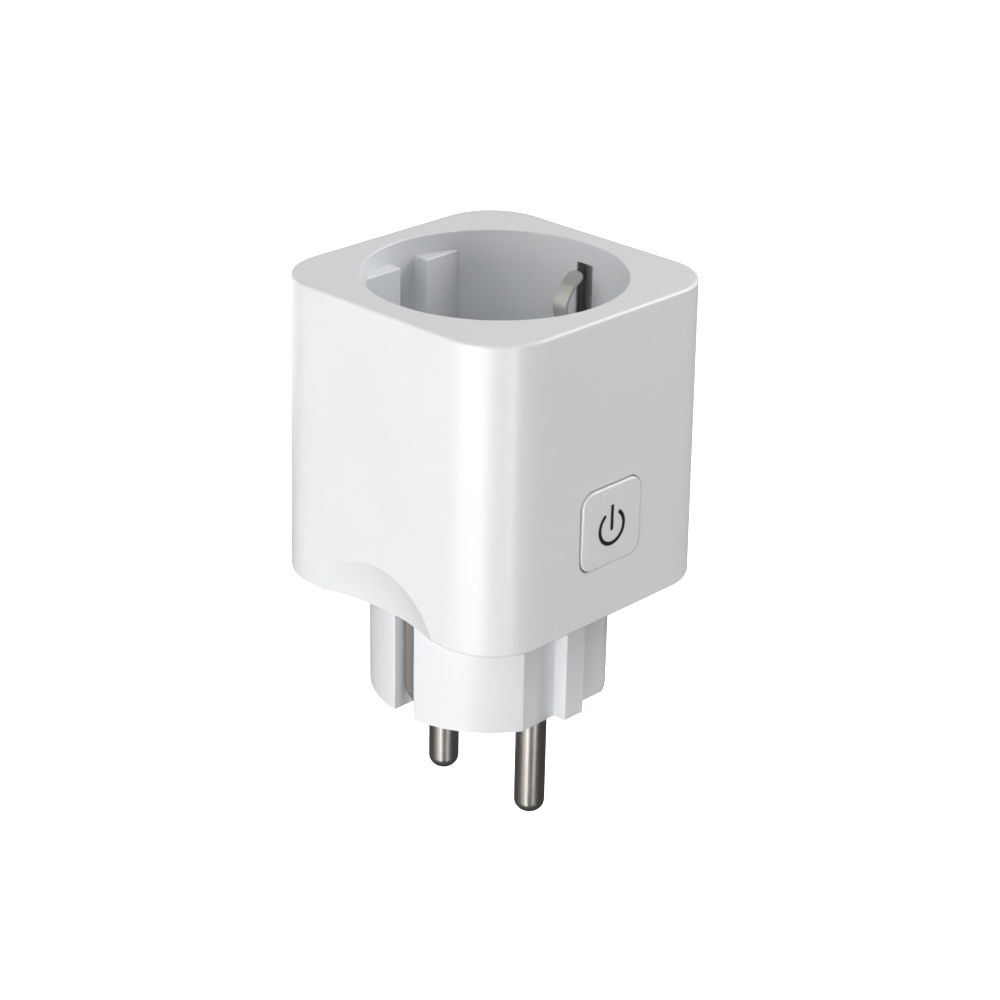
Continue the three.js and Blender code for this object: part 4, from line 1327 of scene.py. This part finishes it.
@dataclass
class Carrier:
    """The moulding that holds the socket sleeves, with the shutter and its spring on top."""

    low: float = 42.2
    high: float = 43.8
    half: float = 16.6
    corner: float = 4.0
    tower_low: float = 29.8
    tower_x: float = 4.6
    tower_y: float = 4.8
    tower_bore: float = 3.75
    aperture: float = 3.1
    pin_y: float = 9.5
    screw_place: float = 13.2
    top: float = 46.55
    blade_low: float = 44.1
    blade_inner: float = 4.2
    blade_outer: float = 13.2
    blade_half: float = 22.5
    hub: float = 4.5
    hub_low: float = 45.5
    spring_radius: float = 2.75
    spring_wire: float = 0.22

    def moulding(self) -> bpy.types.Mesh:
        """Plate, towers, pivot and spring stop in one, bored for the sleeves, the pins and the screws."""
        plate = slab(rectangle(self.half, self.half, self.corner, 8), self.low, self.high, 0.2, 0.2)
        tower = slab(rectangle(self.tower_x, self.tower_y, 0.8, 5), self.tower_low, self.low + 0.5, 0.25, 0)
        pivot = disc(1.9, self.high - 0.5, self.top, 40, 0.2)
        stop = disc(0.6, self.high - 0.5, 45.3, 20, 0.1).moved(-3.95, -4.0)
        whole = added(plate, *at_poles(tower, self.pin_y), pivot, stop)
        through = (self.tower_low - 1, self.high + 1)
        bores = [disc(self.aperture, *through, 48), disc(self.tower_bore, 28, self.low, 48)]
        holes = at_corners(disc(1.25, self.low - 1, self.high + 1, 24), self.screw_place)
        return cut(whole, *[one for bore in bores for one in at_poles(bore, self.pin_y)], *holes)

    def shutter(self) -> bpy.types.Mesh:
        """Two blades on a hub: each is a sector of a ring, ramped on top so that a pin turns it away."""
        start, stop = 90 - self.blade_half, 90 + self.blade_half
        outer = arc((0, 0), self.blade_outer, start, stop, 24)
        sector = np.vstack([outer, arc((0, 0), self.blade_inner, stop, start, 12)])
        blade = slab(sector, self.blade_low, self.top, 0.15, 0.2, 3)
        foot, head = (-4.4, self.top), (7, self.blade_low + 0.4)
        ramp = np.array([foot, head, (head[0], self.top + 2), (foot[0], self.top + 2)])
        ramped = cut(blade, slab(ramp, self.blade_inner + 1, self.blade_outer + 1).laid(Axis.Y))
        other = placed(ramped.copy(), (0, 0, 0), math.pi)
        hub = disc(self.hub, self.hub_low, self.top, 64, 0.15)
        return cut(added(hub, ramped, other), disc(2.05, 43, 48, 40))

    def spring(self) -> Shape:
        """A torsion spring: a helix of one and a half turns between a short leg and a longer one."""
        turn = np.linspace(0, 3 * np.pi, 109)
        low, high = 44.2, 45.1
        radius = self.spring_radius
        rise = low + (high - low) * turn / turn[-1]
        coil = np.stack([radius * np.cos(turn), radius * np.sin(turn), rise], -1)
        short, long = (np.linspace(end, -0.2, 14)[:, None] for end in (-2.5, -4.4))
        first = np.hstack([np.full_like(short, radius), short, np.full_like(short, low)])
        last = np.hstack([np.full_like(long, -radius), long[::-1], np.full_like(long, high)])
        return tube(np.vstack([first, coil, last]), self.spring_wire, 14)

    def build(self) -> None:
        """Makes and shows the carrier, the shutter and the spring."""
        blades, coil = self.shutter(), self.spring()
        show(self.moulding(), "contact_holder", CARRIER_WHITE, "carrier", "contact_carrier")
        show(blades, "shutter_blades", SHUTTER_WHITE, "shutter", "safety_shutter", body=Body.SHUTTER)
        show(coil, "shutter_coil", ZINC, "steel", "shutter_spring")


@dataclass
class Screw:
    """A pan-head thread-forming screw with a cross recess. Its head rests on z = 0 and faces up."""

    length: float
    shank: float = 1.0
    head: float = 1.9
    head_height: float = 1.3
    pitch: float = 0.62
    depth: float = 0.2
    columns: int = 36

    def shape(self) -> bpy.types.Mesh:
        """Head and threaded shank.

        The shank's radius is core + depth * crest(z / pitch - angle / full turn), where crest rises and falls
        in straight lines over the middle two thirds of each turn, and the core narrows towards its end.
        """
        height = np.linspace(-self.length, -0.02, int(self.length / self.pitch * 9))
        angle = circle(self.columns)
        phase = np.mod(height[:, None] / self.pitch - angle[None] / (2 * np.pi), 1)
        crest = np.clip(1 - np.abs(phase - 0.5) * 3, 0, 1)
        narrow = np.clip((height + self.length) / 1.3, 0, 1)[:, None] ** 0.7
        radius = (self.shank - self.depth) * (0.35 + 0.65 * narrow) + self.depth * crest * narrow
        shank = spun(radius, height[:, None], angle)
        dome = arc((0, self.head_height - 1.35), 1.35, 90, 38, 8)[::-1] * [1.42, 1]
        edge = [(self.shank, 0), (self.head - 0.12, 0), (self.head, 0.1), (self.head, 0.42)]
        head = np.vstack([edge, dome[dome[:, 0] < self.head - 0.02], [(0, self.head_height)]])
        body = loft(np.vstack([shank, spun(head[:-1, :1], head[:-1, 1:], angle)]))
        arm = self.head * 0.55
        recess = slab(rectangle(arm, 0.24, 0.1, 3), self.head_height * 0.35, self.head_height + 1)
        return cut(body, recess, recess.turned(90))


@dataclass
class Screws:
    """The eight screws, each one a copy of a screw of its length."""

    carrier_place: float = 13.2
    board_place: float = 16.6

    def build(self) -> None:
        """Places the four under the carrier and the four on the main board."""
        under, over = Screw(5.8).shape(), Screw(5.0).shape()
        height = Screw.head_height
        under.transform(Matrix.Rotation(math.pi, 4, "X"))
        rows = (
            (under, "holder", "carrier", self.carrier_place, box_mm("carrier_screw_1")[0][2] + height),
            (over, "plate", "board", self.board_place, box_mm("board_screw_1")[1][2] - height),
        )
        for number, (x, y) in enumerate(CORNERS, 1):
            for source, name, node, place, z in rows:
                screw = placed(source.copy(), (x * place, y * place, z), 0.5 * number)
                show(screw, f"{name}_screw_{number}", ZINC, "steel", f"{node}_screw_{number}")


# ------------------------------------------------------------------------------------------------ electronics


@dataclass
class Boards:
    """Both circuit boards with their header, radio module, solder joints and small parts."""

    low: float = 23.8
    high: float = 25.4
    half_x: float = 20.5
    half_y: float = 20.0
    corner: float = 6.5
    pin_y: float = 9.5
    screw_place: float = 16.6
    control_y: tuple[float, float] = (-15.6, -14.6)
    control_z: tuple[float, float] = (25.7, 40.4)
    control_x: tuple[float, float] = (-20.2, 13.0)
    notch: tuple[float, float] = (-14.2, 27.3)
    ways: int = 5

    def main_board(self) -> bpy.types.Mesh:
        """The main board, routed for the earth strips, the straps and the sleeves' legs, and drilled."""
        outline = rectangle(self.half_x, self.half_y, self.corner, 10)
        board = slab(outline, self.low, self.high, 0.06, 0.06, 2)
        through = (self.low - 1, self.high + 1)
        cuts = [slab(rectangle(1.4, 2.3, 0.5, 4), *through).moved(side * 20.2) for _, side in SIDES]
        for _, side in POLES:
            cuts.append(slab(rectangle(0.8, 2.1, 0.4, 4), *through).moved(-6.8, side * self.pin_y))
            cuts.append(slab(rectangle(1.9, 0.65, 0.4, 4), *through).moved(0, side * (self.pin_y + 2.85)))
        cuts += at_corners(disc(1.3, *through, 28), self.screw_place)
        drilled = ((2.8, 17.5), (-3.5, -17.6), (16.6, 1.2), (-17.6, 5.2))
        return cut(board, *cuts, *[disc(0.5, *through, 16).moved(x, y) for x, y in drilled])

    def control_board(self) -> bpy.types.Mesh:
        """The upright board behind the button, notched at one foot."""
        (left, right), (foot, top) = self.control_x, self.control_z
        notch_x, notch_z = self.notch
        corners = [(right, foot), (right, top), (left, top)]
        notched = [(notch_x, foot), *corners, (left, notch_z), (notch_x, notch_z)]
        outline = rounded(notched, [0.3, 0.5, 1.2, 1.2, 0.5, 0.3], 5)
        board = slab(outline, *self.control_y, 0.05, 0.05, 2).laid(Axis.Y)
        drilled = ((11.6, 27.2), (11.6, 39.0), (-4.2, 39.2))
        return cut(board, *[disc(0.45, -17, -13, 16).laid(Axis.Y).moved(x, 0, z) for x, z in drilled])

    def header(self) -> bpy.types.Mesh:
        """The header's body, grooved between its five ways."""
        low, high = box_mm("board_header")
        way = (high[0] - low[0]) / self.ways
        groove = soft_box((-0.15, low[1] - 1, low[2] - 1), (0.15, low[1] + 0.25, high[2] + 1), 0, 0)
        grooves = [groove.moved(low[0] + way * i) for i in range(1, self.ways)]
        return cut(soft_box(low, high, 0.15, 0.12), *grooves)

    def header_pins(self) -> bpy.types.Mesh:
        """The header's five pins, standing out of its top along its back."""
        low, high = box_mm("board_header")
        way = (high[0] - low[0]) / self.ways
        pin = soft_box((-0.3, high[1] - 0.9, high[2] - 0.5), (0.3, high[1] - 0.3, high[2] + 0.5), 0.05, 0.1)
        return gathered(pin.moved(x) for x in low[0] + way * (np.arange(self.ways) + 0.5))

    def radio(self) -> None:
        """The radio module: its board with half-round edge contacts, its shield and its folded aerial."""
        low, high = box_mm("wireless_module")
        centre, half = (low + high) / 2, (high - low) / 2
        board = slab(rectangle(half[0], half[2], 0.3, 4), low[1], high[1], 0.04, 0.04, 2)
        bite = disc(0.3, low[1] - 1, high[1] + 1, 12).laid(Axis.Y)
        along = np.arange(low[0] + 1.6, low[0] + 12.2, 1.5)
        bites = [bite.moved(x, 0, z) for x in along for z in (low[2], high[2])]
        card = cut(board.laid(Axis.Y).moved(centre[0], 0, centre[2]), *bites)
        show(card, "radio_card", RADIO_MASK, "radio_board", "wireless_module")
        can_low, can_high = box_mm("wireless_shield")
        vent = disc(0.35, can_high[1] - 0.12, can_high[1] + 1, 14).laid(Axis.Y)
        first_x, first_z = can_low[0] + 1.5, can_high[2] - 1.4
        vents = [vent.moved(first_x + 1.6 * i, 0, first_z - 7.4 * j) for i in range(5) for j in range(2)]
        can = cut(soft_box(can_low, can_high, 0.5, 0.35, Axis.Y), *vents)
        show(can, "radio_can", CAN_STEEL, "steel", "wireless_shield")
        left, right = can_high[0] + 0.7, high[0] - 0.7
        rows = np.linspace(low[2] + 1.3, high[2] - 1.3, 8)
        corners = np.stack([np.tile([left, right, right, left], 4), np.repeat(rows, 2)], -1)
        flat = densify(bent_path(corners, 0.3, 4), 0.5)
        spots = np.stack([flat[:, 0], np.full(len(flat), high[1] + 0.02), flat[:, 1]], -1)
        show(tube(spots, 0.16, 8, (0, 1, 0)), "radio_aerial", COPPER_WIRE, "contact_strip")

    def joints(self) -> bpy.types.Mesh:
        """Solder joints under the main board, each a cone whose side curves in.

        Its radius at a share h of its height is 0.9 (1 - h)^2 + 0.25 sqrt(1 - h^2).
        """
        rise = np.linspace(0, 1, 7)
        profile = np.stack([0.9 * (1 - rise) ** 2 + 0.25 * np.sqrt(1 - rise**2), 0.05 - 0.85 * rise], -1)
        cone = revolve(np.vstack([profile[::-1], [(0, 0.05)]]), 14)
        places = [(-12.8, y) for y in (8.4, 10.8, -0.4, 2.0, -8.2, -6.2)]
        places += [(9.4, 12.4), (9.4, 15.6), (-11.9, 16.9), (-6.9, 16.9), (17.4, 7.2)]
        places += [(6.6, -7.2), (14.2, -7.2), (6.6, 7.2), (14.2, 7.2), (17.3, -10), (17.3, -4)]
        return gathered(cone.moved(x, y, self.low) for x, y in places)

    def small_parts(self) -> None:
        """Chip resistors and capacitors with tinned ends, on the main board's top and the control board."""
        upright = [(-1.5 + 2.2 * i, z) for i in range(6) for z in (29.2, 32.6)]
        upright += [(2.0 + 2.2 * i, 36.2) for i in range(4)]
        flat = [(-5.0, y) for y in (6.4, 7.9, -5.8, -7.4)]
        flat += [(3.9, -6.6), (-7.6, -12.4), (-5.4, -12.4), (2.8, 10.0)]
        block = soft_box((-0.55, -0.4, 0), (0.55, 0.4, 0.45), 0.08, 0.08)
        left = soft_box((-0.8, -0.42, 0), (-0.5, 0.42, 0.48), 0.08, 0.1)
        right = soft_box((0.5, -0.42, 0), (0.8, 0.42, 0.48), 0.08, 0.1)
        for shapes, name, finish, slot in (
            ((block,), "small_parts", CHIP_EPOXY, "chip"),
            ((left, right), "small_part_ends", SOLDER, "contact_strip"),
        ):
            lying = [shape.moved(x, y, self.high) for x, y in flat for shape in shapes]
            stood = [shape.turned(-90, "X").moved(y=self.control_y[1]) for shape in shapes]
            standing = [shape.moved(x, 0, z) for x, z in upright for shape in stood]
            show(gathered(lying + standing), name, finish, slot)

    def build(self) -> None:
        """Makes and shows both boards and everything flat on them."""
        show(self.main_board(), "power_board", BOARD_MASK, "board", "main_board")
        show(self.control_board(), "control_card", BOARD_MASK, "board", "control_board")
        show(self.header_pins(), "header_ways", TIN_STRIP, "contact_strip")
        show(self.header(), "card_header", DULL_BLACK, "header", "board_header")
        show(self.joints(), "solder_joints", SOLDER, "contact_strip")
        self.radio()
        self.small_parts()


@dataclass
class Package:
    """A moulded chip with a row of bent legs along both long sides."""

    name: str
    node: str
    legs: int
    body_height: float
    leg_pitch: float = 1.27
    leg_rise: float = 0.09
    foot: float = 0.9

    def build(self) -> None:
        """Makes the body, with its draft, parting step and corner dimple, and the legs.

        A leg leaves the body at half its height, drops in an S, and ends in a flat foot.
        """
        low, high = box_mm(self.node)
        centre = (low + high) / 2
        half_x, half_y = (high - low)[:2] / 2 - [0, self.foot]
        base, top, waist = 0.15, self.body_height, self.body_height * 0.5
        lower = [(0.14, base), (0.02, waist - 0.04), (0.0, waist)]
        upper = [(0.02, waist + 0.04), (0.16, top - 0.06), (0.22, top)]
        body = stacked(rectangle(half_x, half_y, 0.12, 3), lower + upper)
        dimple = disc(0.32, top - 0.09, top + 1, 20).moved(-half_x + 0.75, -half_y + 0.75)
        chip = placed(cut(body, dimple), (centre[0], centre[1], low[2]))
        show(chip, self.name, CHIP_EPOXY, "chip", self.node)
        path = [(-0.2, waist), (0.32, waist), (0.42, self.leg_rise), (self.foot, self.leg_rise)]
        leg = ribbon(bent_path(np.array(path) + [half_y, 0], 0.14, 4), 0.16, 0.42, 0.04).turned(90)
        legs = []
        for index in range(self.legs):
            along = (index - (self.legs - 1) / 2) * self.leg_pitch
            legs += [leg.turned(turn).moved(centre[0] + along, centre[1], low[2]) for turn in (0, 180)]
        show(gathered(legs), f"{self.name}_legs", SOLDER, "contact_strip")


@dataclass
class Components:
    """The parts that stand on the main board, and the push switch behind the button."""

    leg_place: float = 2.5
    wire: float = 0.3

    def capacitor(self, node: str, name: str) -> None:
        """An electrolytic capacitor: a sleeve shrunk over a grooved can, with a scored bare top.

        The sleeve is a turned profile, and the score is two crossed grooves in the can's top.
        """
        low, high = box_mm(node)
        radius, tall = float(high[0] - low[0]) / 2, float(high[2] - low[2])
        place = (*(low + high)[:2] / 2, low[2])
        groove = arc((radius + 0.25, 2.6), 0.6, 222, 138, 8)
        lip = arc((radius - 0.4, tall - 0.4), 0.4, 0, 90, 5)
        foot = [(radius - 0.3, 0), (radius, 0.3), (radius, 2.1)]
        fold = [(radius - 0.75, tall), (radius - 0.8, tall - 0.12), (radius - 0.8, tall - 0.6)]
        sleeve = turning(*foot, *groove, (radius, 3.1), *lip, *fold, segments=56)
        show(sleeve.moved(*place), name, SLEEVE_BLACK, "capacitor", node)
        top = disc(radius - 0.85, tall - 0.7, tall - 0.2, 40, 0.1)
        arm = radius * 0.55
        score = soft_box((-arm, -0.1, tall - 0.32), (arm, 0.1, tall + 1), 0.05, 0)
        cap = placed(cut(top, *[score.turned(turn) for turn in (35, 125)]), place)
        show(cap, f"{name}_top", CAN_STEEL, "steel")
        outer = arc((0, 0), radius + 0.02, 200, 236, 12)
        band = np.vstack([outer, arc((0, 0), radius - 0.1, 236, 200, 12)])
        show(slab(band, 3.4, tall - 0.8).moved(*place), f"{name}_stripe", STRIPE_GREY, "capacitor")

    def relay(self) -> None:
        """The relay: a drafted cover with a parting groove, and a vent nib and a raised frame on top."""
        low, high = box_mm("relay")
        half_x, half_y, _ = (high - low) / 2
        tall = float(high[2] - low[2])
        foot = [(0.25, 0), (0.05, 0.2), (0.05, 1.4), (0.3, 1.5), (0.3, 1.7), (0.0, 1.8)]
        head = [(0.06, tall - 0.75), (0.16, tall - 0.4), (0.5, tall - 0.25)]
        cover = stacked(rectangle(half_x, half_y, 0.6, 5), foot + head)
        outer = slab(rectangle(half_x - 0.9, half_y - 0.9, 0.5, 4), tall - 0.6, tall - 0.1, 0, 0.08)
        raised = cut(outer, slab(rectangle(half_x - 1.2, half_y - 1.2, 0.3, 4), tall - 1, tall + 1))
        nib = disc(0.6, tall - 0.6, tall, 20, 0.15).moved(-half_x + 2.2, -half_y + 2.4)
        body = placed(added(cover, raised, nib), (*(low + high)[:2] / 2, low[2]))
        show(body, "load_relay", RELAY_BLACK, "relay", "relay")

    def choke(self) -> None:
        """The drum choke: a ferrite core with two flanges, wound with rows of wire between them.

        The winding's outline is a row of humps, 3.0 + 0.14 |cos| of the height over the wire's thickness.
        """
        low, high = box_mm("inductor")
        place = (*(low + high)[:2] / 2, low[2])
        foot = [(0, 0), (3.4, 0), (3.6, 0.2), (3.6, 1.1), (3.5, 1.25), (2.4, 1.25)]
        head = [(2.4, 7.75), (3.5, 7.75), (3.6, 7.9), (3.6, 8.8), (3.4, 9.0)]
        head += [(0.8, 9.0), (0.6, 8.6), (0, 8.6)]
        show(revolve(foot + head, 48).moved(*place), "choke_core", FERRITE, "inductor", "inductor")
        start, stop, wire = 1.3, 7.7, 0.4
        height = np.linspace(start, stop, 129)
        radius = 3.0 + 0.14 * np.abs(np.cos(np.pi * (height - start) / wire))
        wound = turning((2.3, start), *np.stack([radius, height], -1), (2.3, stop), segments=48)
        show(wound.moved(*place), "choke_winding", COPPER_WIRE, "contact_strip")

    def varistor(self) -> None:
        """The varistor: a dipped disc, thickest in the middle, with its coating running down two legs.

        The disc's half thickness at radius r is 1.6 (1 - (r / R)^4)^(1/3).
        """
        low, high = box_mm("varistor")
        radius = float(high[0] - low[0]) / 2
        x, y = (low + high)[:2] / 2
        z = float(high[2]) - radius
        out = radius * np.sin(np.linspace(0, np.pi / 2, 22))
        thick = 1.6 * np.clip(1 - (out / radius) ** 4, 0, 1) ** (1 / 3)
        profile = np.vstack([np.stack([out, -thick], -1), np.stack([out, thick], -1)[::-1][1:]])
        dipped, legs = [revolve(profile, 64).laid(Axis.Y).moved(x, y, z)], []
        run = np.linspace(0, 1, 12)
        for across in (x - self.leg_place, x + self.leg_place):
            drip = np.stack(np.broadcast_arrays(across, y, z - 2.4 - 2.0 * run), -1)
            dipped.append(tube(drip, 0.75 - 0.4 * run, 16, (0, 1, 0)))
            legs.append(self.lead(across, y, low[2] - 0.4, z - 3.0))
        show(gathered(dipped), "surge_disc", BLUE_DIP, "varistor", "varistor")
        show(gathered(legs), "surge_legs", SOLDER, "contact_strip")

    def lead(self, x: float, y: float, low: float, high: float) -> Shape:
        """A straight upright wire between two heights."""
        return tube(np.array([(x, y, low), (x, y, high)]), self.wire, 12, (0, 1, 0))

    def resistor(self) -> None:
        """The fusible resistor: a lacquered dumb-bell that stands on its lead.

        Its radius swells by a bell curve near each end, and closes with a quarter ellipse.
        """
        low, high = box_mm("fusible_resistor")
        x, y = (low + high)[:2] / 2
        start, stop = 1.0, 8.7
        climb = np.linspace(start, stop, 40)
        swell = 1.28 + 0.3 * sum(np.exp(-(((climb - middle) / 0.9) ** 2)) for middle in (2.2, 7.5))
        ends = np.clip(np.minimum(climb - start, stop - climb) / 0.5, 0, 1)
        body = turning(*np.stack([swell * np.sqrt(1 - (1 - ends) ** 2), climb], -1), segments=40)
        show(body.moved(x, y, low[2]), "fuse_resistor", LACQUER, "resistor", "fusible_resistor")
        show(self.lead(x, y, low[2] - 0.3, low[2] + 1.3), "fuse_lead", SOLDER, "contact_strip")

    def shunt(self) -> None:
        """The current shunt: a flat strip bent into a bridge."""
        low, high = box_mm("shunt_resistor")
        x, y = (low + high)[:2] / 2
        path = densify(bent_path([(-3.0, -0.1), (-3.0, 2.4), (3.0, 2.4), (3.0, -0.1)], 0.7), 0.4)
        bridge = ribbon(path, 0.5, 2.0, 0.1).turned(90).moved(x, y, low[2])
        show(bridge, "current_shunt", MANGANIN, "manganin", "shunt_resistor")

    def push_switch(self) -> None:
        """The push switch: a square body with a round well and four rivets, and its plunger."""
        low, high = box_mm("button_switch")
        x, _, z = (low + high) / 2
        rivet = disc(0.4, low[1] - 0.12, low[1] + 0.5, 18, 0.08).laid(Axis.Y)
        rivets = [rivet.moved(x + u, 0, z + v) for u in (-2.3, 2.3) for v in (-2.3, 2.3)]
        whole = added(soft_box(low, high, 0.35, 0.2, Axis.Y), *rivets)
        body = cut(whole, disc(1.95, low[1] - 1, -17.9, 48).laid(Axis.Y).moved(x, 0, z))
        show(body, "push_switch", DULL_BLACK, "switch_body", "button_switch")
        near, far = (corner[1] for corner in box_mm("switch_plunger"))
        pusher = disc(1.75, near, far, 48, 0.25).laid(Axis.Y).moved(x, 0, z)
        show(pusher, "switch_pusher", DULL_BLACK, "plunger", "switch_plunger", body=Body.PLUNGER)

    def lamp(self) -> None:
        """The status lamp: a domed lens on a square base."""
        low, high = box_mm("status_led")
        base = soft_box(low + [0, 0.5, 0], high, 0.12, 0.05, Axis.Y)
        lens = soft_box(low + [0.35, 0, 0.1], high - [0.35, 0.4, 0.1], 0.3, 0.28, Axis.Y)
        show(gathered([base, lens]), "status_lamp", LAMP_RESIN, "lamp", "status_led")

    def build(self) -> None:
        """Makes and shows every component."""
        for node, name in (
            ("filter_capacitor_1", "bulk_capacitor_1"),
            ("filter_capacitor_2", "bulk_capacitor_2"),
            ("output_capacitor", "rail_capacitor"),
        ):
            self.capacitor(node, name)
        self.relay()
        self.choke()
        self.varistor()
        self.resistor()
        self.shunt()
        self.push_switch()
        self.lamp()
        Package("rectifier_package", "bridge_rectifier", 2, 2.4).build()
        Package("converter_package", "converter_chip", 4, 1.7).build()
        Package("metering_package", "metering_chip", 7, 1.7).build()


# ------------------------------------------------------------------------------------------------ studio


# Each lamp's azimuth, elevation, distance in metres, width and height in metres, and watts.
LAMPS = {
    "left_key": (-97, 15, 0.9, (0.8, 0.8), 5.1),
    "low_left": (-80, -12, 0.9, (0.8, 0.4), 4.2),
    "front_high": (-35, 55, 0.9, (0.6, 0.6), 0.5),
    "corner_right": (-18, -8, 0.9, (0.2, 0.6), 2.35),
    "right_far": (75, 25, 0.9, (0.8, 0.8), 4.0),
    "right_edge": (58, 40, 0.9, (0.18, 0.9), 4.6),
    "left_edge": (-147, 41, 0.9, (0.2, 0.9), 0.6),
    "back_top": (140, 45, 0.9, (0.9, 0.9), 1.6),
    "back_fill": (165, -6, 0.9, (0.9, 0.5), 2.2),
    "pin_band": (-70, -27, 0.9, (0.2, 0.5), 0.62),
}


@dataclass
class Studio:
    """A pale floor, soft lights and the camera."""

    azimuth: float = -46.33
    elevation: float = 24.61
    roll: float = 1.155
    distance: float = 380.4
    target: tuple[float, float] = (1.376, 30.04)
    lens: float = 90.65
    floor_z: float = -60.0
    wall_radius: float = 3500.0
    wall_bend: float = 1200.0
    thickness: float = 20.0
    ambient: float = 0.06
    lamp_aim: float = 35.0

    def direction(self, azimuth: float, elevation: float) -> Vector:
        """The unit vector from the plug at an azimuth and an elevation in radians."""
        level = math.cos(elevation)
        return Vector((math.sin(azimuth) * level, -math.cos(azimuth) * level, math.sin(elevation)))

    def camera(self) -> None:
        """A camera on a sphere about a target, rolled a little."""
        az, el, roll = (math.radians(x) for x in (self.azimuth, self.elevation, self.roll))
        back = self.direction(az, el)
        right = (-back).cross(Vector((0, 0, 1))).normalized()
        up = right.cross(-back)
        turned_right = right * math.cos(roll) + up * math.sin(roll)
        turned_up = up * math.cos(roll) - right * math.sin(roll)
        data = bpy.data.cameras.new("camera")
        data.lens = self.lens
        data.clip_start, data.clip_end = 0.01, 20
        rig = bpy.data.objects.new("camera", data)
        place = (right * self.target[0] + Vector((0, 0, self.target[1])) + back * self.distance) * MM
        axes = Matrix((turned_right, turned_up, back)).transposed()
        rig.matrix_world = Matrix.Translation(place) @ axes.to_4x4()
        bpy.context.scene.collection.objects.link(rig)
        bpy.context.scene.camera = rig

    def lamp(
        self,
        name: str,
        azimuth: float,
        elevation: float,
        distance: float,
        size: tuple[float, float],
        power: float,
    ) -> None:
        """A soft rectangular light that faces the plug's middle.

        Args:
            name: of the light.
            azimuth: degrees round the plug, 0 in front of the button.
            elevation: degrees above the horizon.
            distance: metres from the plug.
            size: width and height in metres.
            power: watts.
        """
        data = bpy.data.lights.new(name, "AREA")
        data.shape, data.size, data.size_y, data.energy = "RECTANGLE", size[0], size[1], power
        lamp = bpy.data.objects.new(name, data)
        back = self.direction(math.radians(azimuth), math.radians(elevation))
        lamp.location = Vector((0, 0, self.lamp_aim * MM)) + back * distance
        lamp.visible_camera = False
        lamp.rotation_mode = "QUATERNION"
        lamp.rotation_quaternion = (-back).to_track_quat("-Z", "Y")
        bpy.context.scene.collection.objects.link(lamp)

    def sweep(self) -> None:
        """A plain pale floor that curves up into a round wall, lit evenly like a sheet of opal acrylic.

        It is a turned profile: a disc, a quarter round and a cylinder. Only the camera sees it, so the plug
        is lit by the lamps and the faint even sky alone.
        """
        floor, wall, bend = self.floor_z, self.wall_radius, self.wall_bend
        curve = arc((wall - bend, floor + bend), bend, -90, 0, 16)
        back, under = wall + self.thickness, floor - self.thickness
        profile = [(0, floor), *curve, (wall, wall), (back, wall), (back, under), (0, under)]
        sheet = revolve(profile[::-1], 96).mesh("studio_sweep")
        sheet.polygons.foreach_set("use_smooth", np.ones(len(sheet.polygons), bool))
        opal = OPAL.make()
        shader = opal.node_tree.nodes["Principled BSDF"]
        shader.inputs["Emission Color"].default_value = (1, 1, 1, 1)
        shader.inputs["Emission Strength"].default_value = 1.0
        sheet.materials.append(opal)
        ground = bpy.data.objects.new("studio_sweep", sheet)
        ground.visible_diffuse = ground.visible_glossy = ground.visible_transmission = False
        ground.visible_shadow = False
        bpy.context.scene.collection.objects.link(ground)

    def build(self) -> None:
        """Sets up the whole studio."""
        self.camera()
        self.sweep()
        for name, (azimuth, elevation, distance, size, power) in LAMPS.items():
            self.lamp(name, azimuth, elevation, distance, size, power)
        world = bpy.data.worlds.new("world")
        world.use_nodes = True
        backdrop = world.node_tree.nodes["Background"]
        backdrop.inputs["Color"].default_value = (1, 1, 1, 1)
        backdrop.inputs["Strength"].default_value = self.ambient
        bpy.context.scene.world = world
        bpy.context.scene.view_settings.view_transform = "Standard"


def main() -> None:
    """Builds every sub-assembly in order, then the studio."""
    logging.basicConfig(level=logging.INFO, format="%(name)s %(message)s")
    housing = Housing()
    housing.build()
    PlugBase().build(housing)
    Pins().build()
    EarthPath().build()
    PowerButton().build()
    Contacts().build()
    Carrier().build()
    Screws().build()
    Boards().build()
    Components().build()
    Studio().build()


if __name__ == "__main__":
    main()
